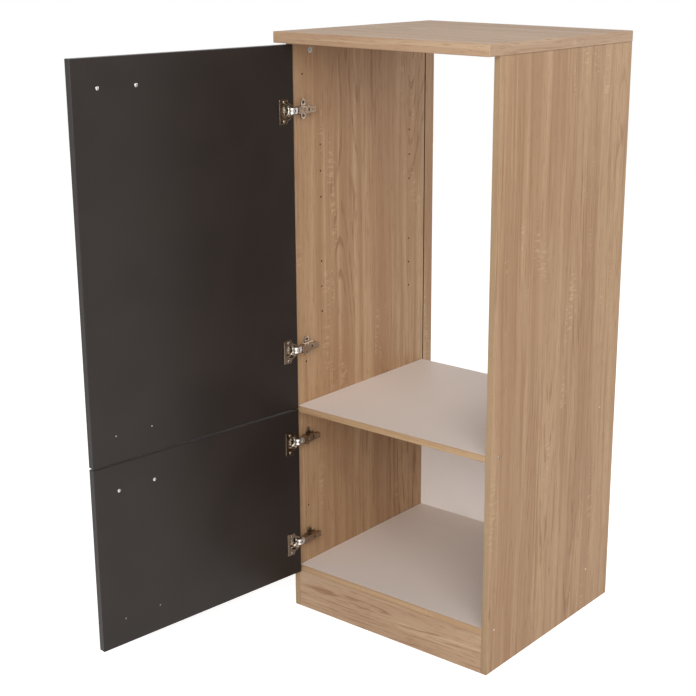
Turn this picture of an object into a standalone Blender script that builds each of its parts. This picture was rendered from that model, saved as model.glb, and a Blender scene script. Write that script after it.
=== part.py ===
"""Fridge housing unit with two doors on concealed cup hinges.

Metres, +Z up. The origin lies on the floor, half way across the carcass and under the
middle of the plinth board. The doors stand open, as far as in the reference view.
"""
import math

import bmesh
import bpy
from mathutils import Matrix, Vector

# Fit of neighbouring pieces
SEAT_GAP = 0.0003
PIN_PLAY = 0.00025
CUTTER_REACH = 0.004

# Carcass boards
CARCASS_WIDTH = 0.600
CARCASS_DEPTH = 0.556
SIDE_HEIGHT = 1.431
BOARD_THICKNESS = 0.016
BOARD_EDGE_ROUND = 0.0008
TOP_THICKNESS = 0.026
TOP_FRONT_OVERHANG = 0.042
TOP_SIDE_OVERHANG = 0.001
TOP_EDGE_ROUND = 0.0012
PLINTH_HEIGHT = 0.100
SHELF_TOP_HEIGHT = 0.546
BACK_THICKNESS = 0.003
BACK_BEFORE_REAR = 0.040
BACK_FRONT_DEPTH = CARCASS_DEPTH - BACK_BEFORE_REAR
SHELF_BEFORE_BACK = 0.0025
SHELF_DEPTH = BACK_FRONT_DEPTH - SHELF_BEFORE_BACK
BACK_UNDER_SHELF_TOP = 0.006
BACK_TOP_HEIGHT = SHELF_TOP_HEIGHT - BACK_UNDER_SHELF_TOP
GROOVE_DEPTH = 0.008
GROOVE_WIDTH = 0.0042

# Drilling of the side panels
ROW_HOLE_RADIUS = 0.0025
ROW_HOLE_DEPTH = 0.011
ROW_PITCH = 0.032
ROW_FRONT_SETBACK = 0.099
ROW_BEFORE_REAR = 0.105
ROW_BACK_SETBACK = CARCASS_DEPTH - ROW_BEFORE_REAR
ROW_BELOW_TOP = 0.247
ROW_TOP_HEIGHT = SIDE_HEIGHT - ROW_BELOW_TOP
ROW_STEPS = (0, 2, 4, 9, 11, 13)
FRONT_HOLE_SETBACK = 0.037
FRONT_HOLE_BELOW_TOP = 0.075
FRONT_HOLE_TOP_HEIGHT = SIDE_HEIGHT - FRONT_HOLE_BELOW_TOP
FRONT_HOLE_STEPS = (0, 22, 34)

# Screws through the sides into the fixed shelf
SHELF_SCREW_INSETS = (0.030, 0.0335)
SHELF_SCREW_SETBACKS = (SHELF_SCREW_INSETS[0], SHELF_DEPTH - SHELF_SCREW_INSETS[1])
SHELF_SCREW_HEAD_RADIUS = 0.0027
SHELF_SCREW_HEAD_HEIGHT = 0.002
SHELF_SCREW_NECK_RADIUS = 0.0023
SHELF_SCREW_SHANK_RADIUS = 0.0017
SHELF_SCREW_LENGTH = 0.045

# Round eccentric fittings under the top board
CAM_INSETS = (0.066, 0.106)
CAM_SETBACKS = (CAM_INSETS[0], CARCASS_DEPTH - CAM_INSETS[1])
CAM_RADIUS = 0.0075
CAM_LENGTH = 0.0122
CAM_BELOW_TOP = 0.021
CAM_SLOT_LENGTH = 0.0095
CAM_SLOT_WIDTH = 0.0016
CAM_SLOT_DEPTH = 0.002

# Doors
DOOR_THICKNESS = 0.018
DOOR_REVEAL = 0.0015
DOOR_FRONT_GAP = 0.002
DOOR_EDGE_ROUND = 0.0012
DOOR_OPEN_DEG = 96.5
DOOR_BELOW_TOP = 0.004
DOOR_ABOVE_PLINTH = 0.001
DOOR_BELOW_SHELF_TOP = 0.002
DOOR_JOINT = 0.0035
UPPER_DOOR_TOP = SIDE_HEIGHT - DOOR_BELOW_TOP
UPPER_DOOR_BOTTOM = SHELF_TOP_HEIGHT - DOOR_BELOW_SHELF_TOP
LOWER_DOOR_TOP = UPPER_DOOR_BOTTOM - DOOR_JOINT
LOWER_DOOR_BOTTOM = PLINTH_HEIGHT + DOOR_ABOVE_PLINTH
UPPER_HINGE_INSETS = (0.152, 0.150)
LOWER_HINGE_INSETS = (0.0845, 0.085)
UPPER_HINGE_HEIGHTS = (
    UPPER_DOOR_TOP - UPPER_HINGE_INSETS[0],
    UPPER_DOOR_BOTTOM + UPPER_HINGE_INSETS[1],
)
LOWER_HINGE_HEIGHTS = (
    LOWER_DOOR_TOP - LOWER_HINGE_INSETS[0],
    LOWER_DOOR_BOTTOM + LOWER_HINGE_INSETS[1],
)

# Bow handles on the outer faces of the doors
HANDLE_PITCH = 0.096
HANDLE_SETBACK = 0.0625
HANDLE_HEIGHT = 0.012
HANDLE_THICKNESS = 0.005
HANDLE_BOW = 0.038
HANDLE_EDGE_ROUND = 0.001
HANDLE_SCREW_HEAD_RADIUS = 0.0042
HANDLE_SCREW_HEAD_HEIGHT = 0.002
HANDLE_SCREW_RADIUS = 0.0019
HANDLE_SCREW_BITE = 0.006
HANDLE_MARK_RADIUS = 0.0012
HANDLE_MARK_DEPTH = 0.004

# Pivots of the hinge, in plan, from the side's inner face, its front edge and the door
ARM_PIN_STANDOFF = 0.015
ARM_PIN_SETBACK = 0.003
REAR_PIN_STANDOFF = 0.0085
REAR_PIN_SETBACK = 0.0061
CUP_PIN_FROM_EDGE = 0.0105
CUP_PIN_DEPTH = 0.006
PIN_RADIUS = 0.0011
OUTER_LINK_SWING_DEG = 30.7
INNER_LINK_LENGTH = 0.0193
INNER_LINK_REST_DEG = -100.5

# Outer link, bent over the edge of the door and forked round the inner link
LINK_HALF_HEIGHT = 0.0070
LINK_THICKNESS = 0.0014
LINK_KNUCKLE_RADIUS = 0.0022
LINK_FORK_HALF_GAP = 0.0025
LINK_FORK_ROOT = 0.0052
OUTER_LINK_BEND_SHARES = ((-0.02, 0.129), (0.890, 0.798))

# Inner link, a narrow bent strip on a long hub
INNER_STRIP_HALF_HEIGHT = 0.0022
INNER_STRIP_THICKNESS = 0.0010
INNER_HUB_RADIUS = 0.0020
INNER_HUB_HALF_HEIGHT = 0.0070
INNER_TIP_RADIUS = 0.0009
INNER_LINK_BEND_SHARES = ((0.739, 0.596), (1.291, 0.692))

# Hinge cup pressed into the door
CUP_CENTRE_FROM_EDGE = 0.0215
CUP_RADIUS = 0.0175
CUP_WALL = 0.0011
CUP_DEPTH = 0.013
CUP_FLOOR = 0.0008
CUP_FOOT_ROUND = 0.0018
FLANGE_THICKNESS = 0.0010
FLANGE_HALF_HEIGHT = 0.029
FLANGE_FAR_REACH = 0.024
FLANGE_EAR_START = 0.0005
FLANGE_SHOULDER_REACH = 0.002
FLANGE_SHOULDER_HALF_HEIGHT = 0.0215
FLANGE_NOSE_REACH = 0.0182
FLANGE_NOSE_HALF_HEIGHT = 0.0130
FLANGE_CORNER_ROUND = 0.0022
FLANGE_LIP_WIDTH = 0.0014
FLANGE_LIP_RISE = 0.0012
CUP_SCREW_OFFSET = 0.0095
CUP_SCREW_HALF_SPACING = 0.0225

# Wood screws of the hinge
WOOD_SCREW_HEAD_RADIUS = 0.0036
WOOD_SCREW_HEAD_HEIGHT = 0.0019
WOOD_SCREW_RADIUS = 0.0016
WOOD_SCREW_BITE = 0.0105

# Mounting plate on the side panel
PLATE_THICKNESS = 0.0026
PLATE_START = 0.0185
PLATE_END = 0.059
PLATE_HALF_HEIGHT = 0.0085
PLATE_SCREW_SETBACK = 0.037
PLATE_SCREW_HALF_SPACING = 0.016
PLATE_WING_RADIUS = 0.0080
SADDLE_START = 0.0205
SADDLE_END = 0.057

# Hinge arm, a channel that sits over the saddle of the plate
ARM_STANDOFF = 0.020
ARM_SHEET = 0.0012
ARM_HALF_HEIGHT = 0.0088
ARM_END = 0.062
ARM_SKIRT_STANDOFF = 0.0098
ARM_COVER_START = 0.004
ARM_NOSE_SETBACK = 0.0004
ARM_NOSE_TOP = 0.0182
ARM_NOSE_FOOT = 0.0125
ARM_THROAT_STANDOFF = 0.0058
ARM_THROAT_START = 0.0034
ARM_THROAT_END = 0.0125
ARM_TAPER_START = 0.020
ARM_TAIL_SHARE = 0.78
RIVET_HEAD_RADIUS = 0.0019
RIVET_HEAD_HEIGHT = 0.0005
ADJUSTER_SETBACK = 0.023
ADJUSTER_RADIUS = 0.0036
ADJUSTER_RISE = 0.0012
ADJUSTER_SLOT_WIDTH = 0.0011
ADJUSTER_SLOT_DEPTH = 0.0008
KEYHOLE_SETBACK = 0.038
KEYHOLE_HALF_LENGTH = 0.0021
KEYHOLE_HALF_HEIGHT = 0.0042
KEYHOLE_DEPTH = 0.008
TOOTH_START = 0.046
TOOTH_PITCH = 0.0032
TOOTH_WIDTH = 0.0014
TOOTH_HALF_HEIGHT = 0.0034
TOOTH_DEPTH = 0.0005
TOOTH_COUNT = 4

# Facets
ROUND_SEGMENTS = 12
SCREW_SEGMENTS = 8
PIN_SEGMENTS = 10
CUP_SEGMENTS = 28
CAM_SEGMENTS = 20
WING_SEGMENTS = 8
BEND_STEPS = 10
SMOOTH_LIMIT_DEG = 35.0

LEFT_X = -CARCASS_WIDTH / 2
FRONT_Y = -BOARD_THICKNESS / 2
DOOR_WIDTH = CARCASS_WIDTH - DOOR_REVEAL * 2


def clear_scene():
    """Removes every object of the open scene."""
    for item in list(bpy.data.objects):
        bpy.data.objects.remove(item, do_unlink=True)


def finish(name, colour, roughness, metallic):
    """Makes one finish with its colour, roughness and metallic value."""
    material = bpy.data.materials.new(name)
    material.use_nodes = True
    shader = material.node_tree.nodes["Principled BSDF"]
    shader.inputs["Base Color"].default_value = (*colour, 1.0)
    shader.inputs["Roughness"].default_value = roughness
    shader.inputs["Metallic"].default_value = metallic
    return material


def solid(name, mesh_data):
    """Turns a bmesh into an object of its own with outward faces."""
    bmesh.ops.recalc_face_normals(mesh_data, faces=mesh_data.faces)
    mesh = bpy.data.meshes.new(name)
    mesh_data.to_mesh(mesh)
    mesh_data.free()
    item = bpy.data.objects.new(name, mesh)
    bpy.context.scene.collection.objects.link(item)
    return item


def block(name, low, high):
    """Box between two opposite corners."""
    mesh_data = bmesh.new()
    size = [high[i] - low[i] for i in range(3)]
    centre = [(high[i] + low[i]) / 2 for i in range(3)]
    frame = Matrix.Translation(centre) @ Matrix.Diagonal((*size, 1))
    bmesh.ops.create_cube(mesh_data, size=1, matrix=frame)
    return solid(name, mesh_data)


def prism(name, outline, low, high, axis="Z"):
    """Outline of two coordinates pushed from low to high along the third."""
    turns = {
        "Z": lambda a, b, c: (a, b, c),
        "X": lambda a, b, c: (c, a, b),
        "Y": lambda a, b, c: (a, c, b),
    }
    turn = turns[axis]
    mesh_data = bmesh.new()
    base = [mesh_data.verts.new(turn(a, b, low)) for a, b in outline]
    face = mesh_data.faces.new(base)
    pushed = bmesh.ops.extrude_face_region(mesh_data, geom=[face])
    rise = Vector(turn(0, 0, high - low))
    moved = [part for part in pushed["geom"] if isinstance(part, bmesh.types.BMVert)]
    bmesh.ops.translate(mesh_data, vec=rise, verts=moved)
    return solid(name, mesh_data)


def rod(name, centre, radius, low, high, axis="Z", segments=ROUND_SEGMENTS):
    """Cylinder along an axis through a point given by the other two coordinates."""
    outline = circle(centre, radius, segments)
    return prism(name, outline, low, high, axis)


def circle(centre, radius, segments):
    """Points of a circle, counter-clockwise."""
    step = math.tau / segments
    return [
        (centre[0] + radius * math.cos(step * i), centre[1] + radius * math.sin(step * i))
        for i in range(segments)
    ]


def turned(name, profile, segments):
    """Closed solid turned about Z from a profile of radius and height pairs."""
    mesh_data = bmesh.new()
    rings = []
    for radius, height in profile:
        if radius == 0:
            rings.append([mesh_data.verts.new((0, 0, height))])
        else:
            points = circle((0, 0), radius, segments)
            rings.append([mesh_data.verts.new((x, y, height)) for x, y in points])
    for lower, upper in zip(rings, rings[1:]):
        for i in range(segments):
            following = (i + 1) % segments
            if len(lower) == 1:
                mesh_data.faces.new((lower[0], upper[i], upper[following]))
            elif len(upper) == 1:
                mesh_data.faces.new((lower[i], lower[following], upper[0]))
            else:
                mesh_data.faces.new((lower[i], lower[following], upper[following], upper[i]))
    return solid(name, mesh_data)


def settle(item):
    """Replaces the mesh by what its modifiers make of it."""
    bpy.context.view_layer.update()
    graph = bpy.context.evaluated_depsgraph_get()
    result = bpy.data.meshes.new_from_object(item.evaluated_get(graph))
    item.modifiers.clear()
    item.data = result
    return item


def combine(item, tools, operation):
    """Adds the tools to a solid, or takes them away from it, one after the other."""
    for tool in tools:
        step = item.modifiers.new(operation.lower(), "BOOLEAN")
        step.operation = operation
        step.solver = "EXACT"
        step.object = tool
    settle(item)
    for tool in tools:
        bpy.data.objects.remove(tool, do_unlink=True)
    return item


def drill(item, tools):
    """A solid with separate bores and grooves taken away in one step."""
    mesh_data = bmesh.new()
    for tool in tools:
        mesh_data.from_mesh(tool.data)
        bpy.data.objects.remove(tool, do_unlink=True)
    return cut(item, solid("bores", mesh_data))


def join(item, *tools):
    """Union of a solid with others."""
    return combine(item, tools, "UNION")


def cut(item, *tools):
    """A solid with others taken away."""
    return combine(item, tools, "DIFFERENCE")


def soften(item, width, segments=1):
    """Rounds the sharp edges."""
    step = item.modifiers.new("edge_round", "BEVEL")
    step.width = width
    step.segments = segments
    step.limit_method = "ANGLE"
    step.angle_limit = math.radians(SMOOTH_LIMIT_DEG)
    return settle(item)


def smooth(item):
    """Shades round faces smooth and keeps the edges sharp."""
    item.data.shade_smooth()
    item.data.set_sharp_from_angle(angle=math.radians(SMOOTH_LIMIT_DEG))
    return item


def filleted(corners, radius, steps=2):
    """Outline with each corner replaced by an arc of the given radius."""
    outline = []
    count = len(corners)
    for i in range(count):
        corner = Vector(corners[i])
        back = (Vector(corners[i - 1]) - corner).normalized()
        ahead = (Vector(corners[(i + 1) % count]) - corner).normalized()
        half_angle = back.angle(ahead) / 2
        centre = corner + (back + ahead).normalized() * (radius / math.sin(half_angle))
        start = corner + back * (radius / math.tan(half_angle)) - centre
        end = corner + ahead * (radius / math.tan(half_angle)) - centre
        sweep = start.angle_signed(end)
        for k in range(steps + 1):
            turn = Matrix.Rotation(-sweep * k / steps, 2)
            outline.append(tuple(centre + turn @ start))
    return outline


def bend_path(start, end, shares, steps):
    """Points and normals along a cubic bend whose handles are shares of its span."""
    span = end - start
    side = Vector((-span.y, span.x))
    handles = [start + span * along + side * across for along, across in shares]
    points = (start, *handles, end)
    path = []
    for i in range(steps + 1):
        t = i / steps
        weights = ((1 - t) ** 3, 3 * t * (1 - t) ** 2, 3 * t * t * (1 - t), t ** 3)
        place = sum((p * w for p, w in zip(points, weights)), Vector((0, 0)))
        slopes = ((1 - t) ** 2, 2 * t * (1 - t), t * t)
        legs = [b - a for a, b in zip(points, points[1:])]
        slope = sum((leg * w for leg, w in zip(legs, slopes)), Vector((0, 0)))
        slope.normalize()
        path.append((place, Vector((-slope.y, slope.x))))
    return path


def bent_strip(name, path, thickness, half_height):
    """Strip of sheet that follows a path in plan and stands on edge."""
    half = thickness / 2
    outline = [tuple(place + normal * half) for place, normal in path]
    outline += [tuple(place - normal * half) for place, normal in reversed(path)]
    return prism(name, outline, -half_height, half_height)


def adopt(item, name, material, parent, location=(0, 0, 0), turn=(0, 0, 0)):
    """Gives a solid its name, finish, parent and place."""
    item.name = name
    item.data.name = name
    item.data.materials.clear()
    item.data.materials.append(material)
    item.parent = parent
    item.location = location
    item.rotation_euler = turn
    return item


def copy_of(item):
    """Second object on the same mesh."""
    twin = bpy.data.objects.new(item.name, item.data)
    bpy.context.scene.collection.objects.link(twin)
    return twin


def group(name, parent, location, turn_deg=0.0):
    """Empty that carries the pieces of one body."""
    empty = bpy.data.objects.new(name, None)
    bpy.context.scene.collection.objects.link(empty)
    empty.parent = parent
    empty.location = location
    empty.rotation_euler = (0, 0, math.radians(turn_deg))
    return empty


def board(low, high, edge_round):
    """Panel with softened edges."""
    return soften(block("board", low, high), edge_round)


def inner_bores(side, radius, depth, places, segments=ROUND_SEGMENTS):
    """Blind bores from the inner face of a side; side is 1 at the left, -1 at the right."""
    face = BOARD_THICKNESS if side > 0 else CARCASS_WIDTH - BOARD_THICKNESS
    ends = sorted((face - side * depth, face + side * CUTTER_REACH))
    return [rod("bore", place, radius, *ends, axis="X", segments=segments) for place in places]


def side_panel(side):
    """Side with back groove, shelf rows, front holes and bores for its fittings."""
    outer = 0 if side > 0 else CARCASS_WIDTH
    inner = outer + side * BOARD_THICKNESS
    ends = sorted((outer, inner))
    item = board((ends[0], 0, 0), (ends[1], CARCASS_DEPTH, SIDE_HEIGHT), BOARD_EDGE_ROUND)
    groove_ends = sorted((inner - side * GROOVE_DEPTH, inner + side * CUTTER_REACH))
    groove_front = BACK_FRONT_DEPTH - SEAT_GAP * 2
    groove = block(
        "groove",
        (groove_ends[0], groove_front, -CUTTER_REACH),
        (groove_ends[1], groove_front + GROOVE_WIDTH, SIDE_HEIGHT + CUTTER_REACH),
    )
    rows = [
        (setback, ROW_TOP_HEIGHT - step * ROW_PITCH)
        for setback in (ROW_FRONT_SETBACK, ROW_BACK_SETBACK)
        for step in ROW_STEPS
    ]
    front = [
        (FRONT_HOLE_SETBACK, FRONT_HOLE_TOP_HEIGHT - step * ROW_PITCH)
        for step in FRONT_HOLE_STEPS
    ]
    cams = [(setback, SIDE_HEIGHT - CAM_BELOW_TOP) for setback in CAM_SETBACKS]
    tools = [groove]
    tools += inner_bores(side, ROW_HOLE_RADIUS, ROW_HOLE_DEPTH, rows + front)
    tools += inner_bores(side, CAM_RADIUS + SEAT_GAP, CAM_LENGTH + SEAT_GAP, cams, CAM_SEGMENTS)
    if side > 0:
        heights = UPPER_HINGE_HEIGHTS + LOWER_HINGE_HEIGHTS
        pilots = [
            (PLATE_SCREW_SETBACK, height + way * PLATE_SCREW_HALF_SPACING)
            for height in heights
            for way in (1, -1)
        ]
        radius = WOOD_SCREW_RADIUS + SEAT_GAP
        tools += inner_bores(side, radius, WOOD_SCREW_BITE + SEAT_GAP, pilots, SCREW_SEGMENTS)
    through = (ends[0] - CUTTER_REACH, ends[1] + CUTTER_REACH)
    height = SHELF_TOP_HEIGHT - BOARD_THICKNESS / 2
    for setback in SHELF_SCREW_SETBACKS:
        radius = SHELF_SCREW_HEAD_RADIUS + SEAT_GAP
        tools.append(rod("screw_bore", (setback, height), radius, *through, axis="X"))
    return smooth(drill(item, tools))


def shelf():
    """Fixed shelf that carries the fridge, bored at its ends for the screws."""
    low = (BOARD_THICKNESS + SEAT_GAP, 0, SHELF_TOP_HEIGHT - BOARD_THICKNESS)
    high = (CARCASS_WIDTH - BOARD_THICKNESS - SEAT_GAP, SHELF_DEPTH, SHELF_TOP_HEIGHT)
    item = board(low, high, BOARD_EDGE_ROUND)
    radius = SHELF_SCREW_NECK_RADIUS + SEAT_GAP
    depth = SHELF_SCREW_LENGTH - BOARD_THICKNESS + SEAT_GAP
    middle = SHELF_TOP_HEIGHT - BOARD_THICKNESS / 2
    tools = []
    for setback in SHELF_SCREW_SETBACKS:
        for ends in ((low[0] - CUTTER_REACH, low[0] + depth), (high[0] - depth, high[0] + CUTTER_REACH)):
            tools.append(rod("screw_bore", (setback, middle), radius, *ends, axis="X"))
    return drill(item, tools)


def shelf_screw():
    """Connecting screw with a flush head, thick neck and thinner shank, pointing down."""
    neck_end = -BOARD_THICKNESS
    profile = (
        (0, 0),
        (SHELF_SCREW_HEAD_RADIUS, 0),
        (SHELF_SCREW_HEAD_RADIUS, -SHELF_SCREW_HEAD_HEIGHT),
        (SHELF_SCREW_NECK_RADIUS, -SHELF_SCREW_HEAD_HEIGHT),
        (SHELF_SCREW_NECK_RADIUS, neck_end),
        (SHELF_SCREW_SHANK_RADIUS, neck_end),
        (SHELF_SCREW_SHANK_RADIUS, -SHELF_SCREW_LENGTH + SHELF_SCREW_SHANK_RADIUS),
        (0, -SHELF_SCREW_LENGTH),
    )
    return smooth(turned("shelf_screw", profile, SCREW_SEGMENTS))


def cam_fitting():
    """Eccentric disc with a cross slot in its face, which looks along +Z."""
    item = rod("cam", (0, 0), CAM_RADIUS, -CAM_LENGTH, 0, segments=CAM_SEGMENTS)
    half_length = CAM_SLOT_LENGTH / 2
    half_width = CAM_SLOT_WIDTH / 2
    slots = [
        block("slot", (-a, -b, -CAM_SLOT_DEPTH), (a, b, CUTTER_REACH))
        for a, b in ((half_length, half_width), (half_width, half_length))
    ]
    return smooth(cut(item, *slots))


def wood_screw(head_radius, head_height, shank_radius, length):
    """Round-headed screw that seats at height zero and points down."""
    crown = head_radius / 2
    profile = (
        (0, head_height),
        (crown, head_height),
        (head_radius, head_height / 2),
        (head_radius, 0),
        (shank_radius, 0),
        (shank_radius, -length + shank_radius),
        (0, -length),
    )
    return smooth(turned("wood_screw", profile, SCREW_SEGMENTS))


def door_panel(bottom, top, hinge_heights):
    """Door in its own plan: X from the cup pin, Y towards the inner face, Z up."""
    left = -CUP_PIN_FROM_EDGE
    face = CUP_PIN_DEPTH
    item = board(
        (left, face - DOOR_THICKNESS, bottom), (left + DOOR_WIDTH, face, top), DOOR_EDGE_ROUND
    )
    cup_x = CUP_CENTRE_FROM_EDGE - CUP_PIN_FROM_EDGE
    past_face = face + CUTTER_REACH
    tools = []
    for height in hinge_heights:
        cup_floor = face - CUP_DEPTH - SEAT_GAP
        cup_radius = CUP_RADIUS + SEAT_GAP
        tools.append(
            rod("cup_bore", (cup_x, height), cup_radius, cup_floor, past_face, "Y", CUP_SEGMENTS)
        )
        for way in (1, -1):
            place = (cup_x + CUP_SCREW_OFFSET, height + way * CUP_SCREW_HALF_SPACING)
            pilot_floor = face - WOOD_SCREW_BITE - SEAT_GAP
            pilot_radius = WOOD_SCREW_RADIUS + SEAT_GAP
            tools.append(rod("pilot", place, pilot_radius, pilot_floor, past_face, "Y"))
    outer_x = left + DOOR_WIDTH - HANDLE_SETBACK
    for x in (outer_x, outer_x - HANDLE_PITCH):
        bore_low = face - DOOR_THICKNESS - CUTTER_REACH
        bore_radius = HANDLE_SCREW_RADIUS + SEAT_GAP
        place = (x, top - HANDLE_SETBACK)
        tools.append(rod("handle_bore", place, bore_radius, bore_low, past_face, "Y"))
        place = (x, bottom + HANDLE_SETBACK)
        mark_floor = face - HANDLE_MARK_DEPTH
        tools.append(rod("mark", place, HANDLE_MARK_RADIUS, mark_floor, past_face, "Y"))
    return drill(item, tools)


def handle():
    """Bow handle in plan: feet at zero, the bow towards -Y, centred on X."""
    half_pitch = HANDLE_PITCH / 2
    start = Vector((-half_pitch, 0))
    end = Vector((half_pitch, 0))
    bow_share = -HANDLE_BOW / HANDLE_PITCH
    path = bend_path(start, end, ((0, bow_share), (1, bow_share)), BEND_STEPS)
    item = bent_strip("handle", path, HANDLE_THICKNESS, HANDLE_HEIGHT / 2)
    item = soften(item, HANDLE_EDGE_ROUND)
    bore_radius = HANDLE_SCREW_RADIUS + SEAT_GAP
    bore_low = -HANDLE_SCREW_BITE - SEAT_GAP * 2
    tools = [
        rod("thread_bore", (x, 0), bore_radius, bore_low, CUTTER_REACH, "Y")
        for x in (-half_pitch, half_pitch)
    ]
    return smooth(drill(item, tools))


def outer_link():
    """Forked link from its arm pin at the origin to the cup pin on +X."""
    length = outer_link_length()
    start = Vector((0, 0))
    end = Vector((length, 0))
    path = bend_path(start, end, OUTER_LINK_BEND_SHARES, BEND_STEPS)
    item = bent_strip("outer_link", path, LINK_THICKNESS, LINK_HALF_HEIGHT)
    knuckles = [
        rod("knuckle", (x, 0), LINK_KNUCKLE_RADIUS, -LINK_HALF_HEIGHT, LINK_HALF_HEIGHT)
        for x in (0, length)
    ]
    join(item, *knuckles)
    reach = length + length
    fork = block(
        "fork", (-reach, -reach, -LINK_FORK_HALF_GAP), (reach, reach, LINK_FORK_HALF_GAP)
    )
    root = rod("root", (0, 0), LINK_FORK_ROOT, -reach, reach, segments=CAM_SEGMENTS)
    cut(fork, root)
    tall = LINK_HALF_HEIGHT + CUTTER_REACH
    bores = [
        rod("bore", (x, 0), PIN_RADIUS + PIN_PLAY, -tall, tall, segments=PIN_SEGMENTS)
        for x in (0, length)
    ]
    return smooth(cut(item, fork, *bores))


def inner_link():
    """Narrow link from its hub at the origin to a rounded tip on +X."""
    start = Vector((0, 0))
    end = Vector((INNER_LINK_LENGTH, 0))
    path = bend_path(start, end, INNER_LINK_BEND_SHARES, BEND_STEPS)
    half_height = INNER_STRIP_HALF_HEIGHT
    item = bent_strip("inner_link", path, INNER_STRIP_THICKNESS, half_height)
    hub = rod("hub", (0, 0), INNER_HUB_RADIUS, -INNER_HUB_HALF_HEIGHT, INNER_HUB_HALF_HEIGHT)
    tip = rod("tip", (INNER_LINK_LENGTH, 0), INNER_TIP_RADIUS, -half_height, half_height)
    join(item, hub, tip)
    tall = INNER_HUB_HALF_HEIGHT + CUTTER_REACH
    bore = rod("bore", (0, 0), PIN_RADIUS + PIN_PLAY, -tall, tall, segments=PIN_SEGMENTS)
    return smooth(cut(item, bore))


def flange_outline():
    """Outline of the cup's flange about the cup's centre, ears away from the hinge."""
    half = [
        (FLANGE_FAR_REACH, FLANGE_HALF_HEIGHT),
        (FLANGE_EAR_START, FLANGE_HALF_HEIGHT),
        (-FLANGE_SHOULDER_REACH, FLANGE_SHOULDER_HALF_HEIGHT),
        (-FLANGE_NOSE_REACH, FLANGE_NOSE_HALF_HEIGHT),
    ]
    mirrored = [(x, -y) for x, y in reversed(half)]
    return filleted(half + mirrored, FLANGE_CORNER_ROUND)


def hinge_cup():
    """Pressed cup about Z, sunk below zero, with its flange, lip and pin in two halves."""
    foot = -CUP_DEPTH
    top = SEAT_GAP + FLANGE_THICKNESS
    profile = (
        (0, foot),
        (CUP_RADIUS - CUP_FOOT_ROUND, foot),
        (CUP_RADIUS, foot + CUP_FOOT_ROUND),
        (CUP_RADIUS, top),
        (0, top),
    )
    item = turned("cup", profile, CUP_SEGMENTS)
    flange = prism("flange", flange_outline(), SEAT_GAP, top)
    lip_half = FLANGE_HALF_HEIGHT - FLANGE_CORNER_ROUND
    lip = block(
        "lip",
        (FLANGE_FAR_REACH - FLANGE_LIP_WIDTH, -lip_half, SEAT_GAP),
        (FLANGE_FAR_REACH, lip_half, top + FLANGE_LIP_RISE),
    )
    join(item, flange, lip)
    inner_radius = CUP_RADIUS - CUP_WALL
    floor = foot + CUP_FLOOR
    hollow_profile = (
        (0, floor),
        (inner_radius - CUP_FOOT_ROUND, floor),
        (inner_radius, floor + CUP_FOOT_ROUND),
        (inner_radius, top + CUTTER_REACH),
        (0, top + CUTTER_REACH),
    )
    hollow = turned("hollow", hollow_profile, CUP_SEGMENTS)
    holes = [
        rod("hole", (CUP_SCREW_OFFSET, y), WOOD_SCREW_RADIUS + SEAT_GAP, foot, -foot)
        for y in (CUP_SCREW_HALF_SPACING, -CUP_SCREW_HALF_SPACING)
    ]
    cut(item, hollow, *holes)
    pin_x = CUP_PIN_FROM_EDGE - CUP_CENTRE_FROM_EDGE
    wall_middle = CUP_RADIUS - CUP_WALL / 2
    half_pin = math.sqrt(wall_middle ** 2 - pin_x ** 2)
    pins = []
    for ends in ((-half_pin, -LINK_FORK_HALF_GAP), (LINK_FORK_HALF_GAP, half_pin)):
        place = (pin_x, -CUP_PIN_DEPTH)
        pins.append(rod("pin", place, PIN_RADIUS, *ends, "Y", PIN_SEGMENTS))
    return smooth(join(item, *pins))


def plate_outline():
    """Cross-shaped outline of the mounting plate: setback against height."""
    wing_left = PLATE_SCREW_SETBACK - PLATE_WING_RADIUS
    wing_right = PLATE_SCREW_SETBACK + PLATE_WING_RADIUS
    arc = []
    for i in range(WING_SEGMENTS + 1):
        angle = math.pi * i / WING_SEGMENTS
        across = PLATE_SCREW_SETBACK + PLATE_WING_RADIUS * math.cos(angle)
        arc.append((across, PLATE_SCREW_HALF_SPACING + PLATE_WING_RADIUS * math.sin(angle)))
    upper = [(PLATE_END, PLATE_HALF_HEIGHT), (wing_right, PLATE_HALF_HEIGHT)]
    upper += arc
    upper += [(wing_left, PLATE_HALF_HEIGHT), (PLATE_START, PLATE_HALF_HEIGHT)]
    lower = [(y, -z) for y, z in reversed(upper)]
    return upper + lower


def taper_tail(item):
    """Narrows a hinge piece evenly from the taper's start to the arm's end."""
    mesh_data = bmesh.new()
    mesh_data.from_mesh(item.data)
    parts = mesh_data.verts[:] + mesh_data.edges[:] + mesh_data.faces[:]
    start = (0, ARM_TAPER_START, 0)
    bmesh.ops.bisect_plane(mesh_data, geom=parts, plane_co=start, plane_no=(0, 1, 0))
    for vertex in mesh_data.verts:
        along = (vertex.co.y - ARM_TAPER_START) / (ARM_END - ARM_TAPER_START)
        along = min(max(along, 0), 1)
        vertex.co.z *= 1 - (1 - ARM_TAIL_SHARE) * along
    mesh_data.to_mesh(item.data)
    mesh_data.free()
    return item


def saddle_top():
    """Stand-off of the saddle's top under the cover of the arm."""
    return ARM_STANDOFF - ARM_SHEET - SEAT_GAP


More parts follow.
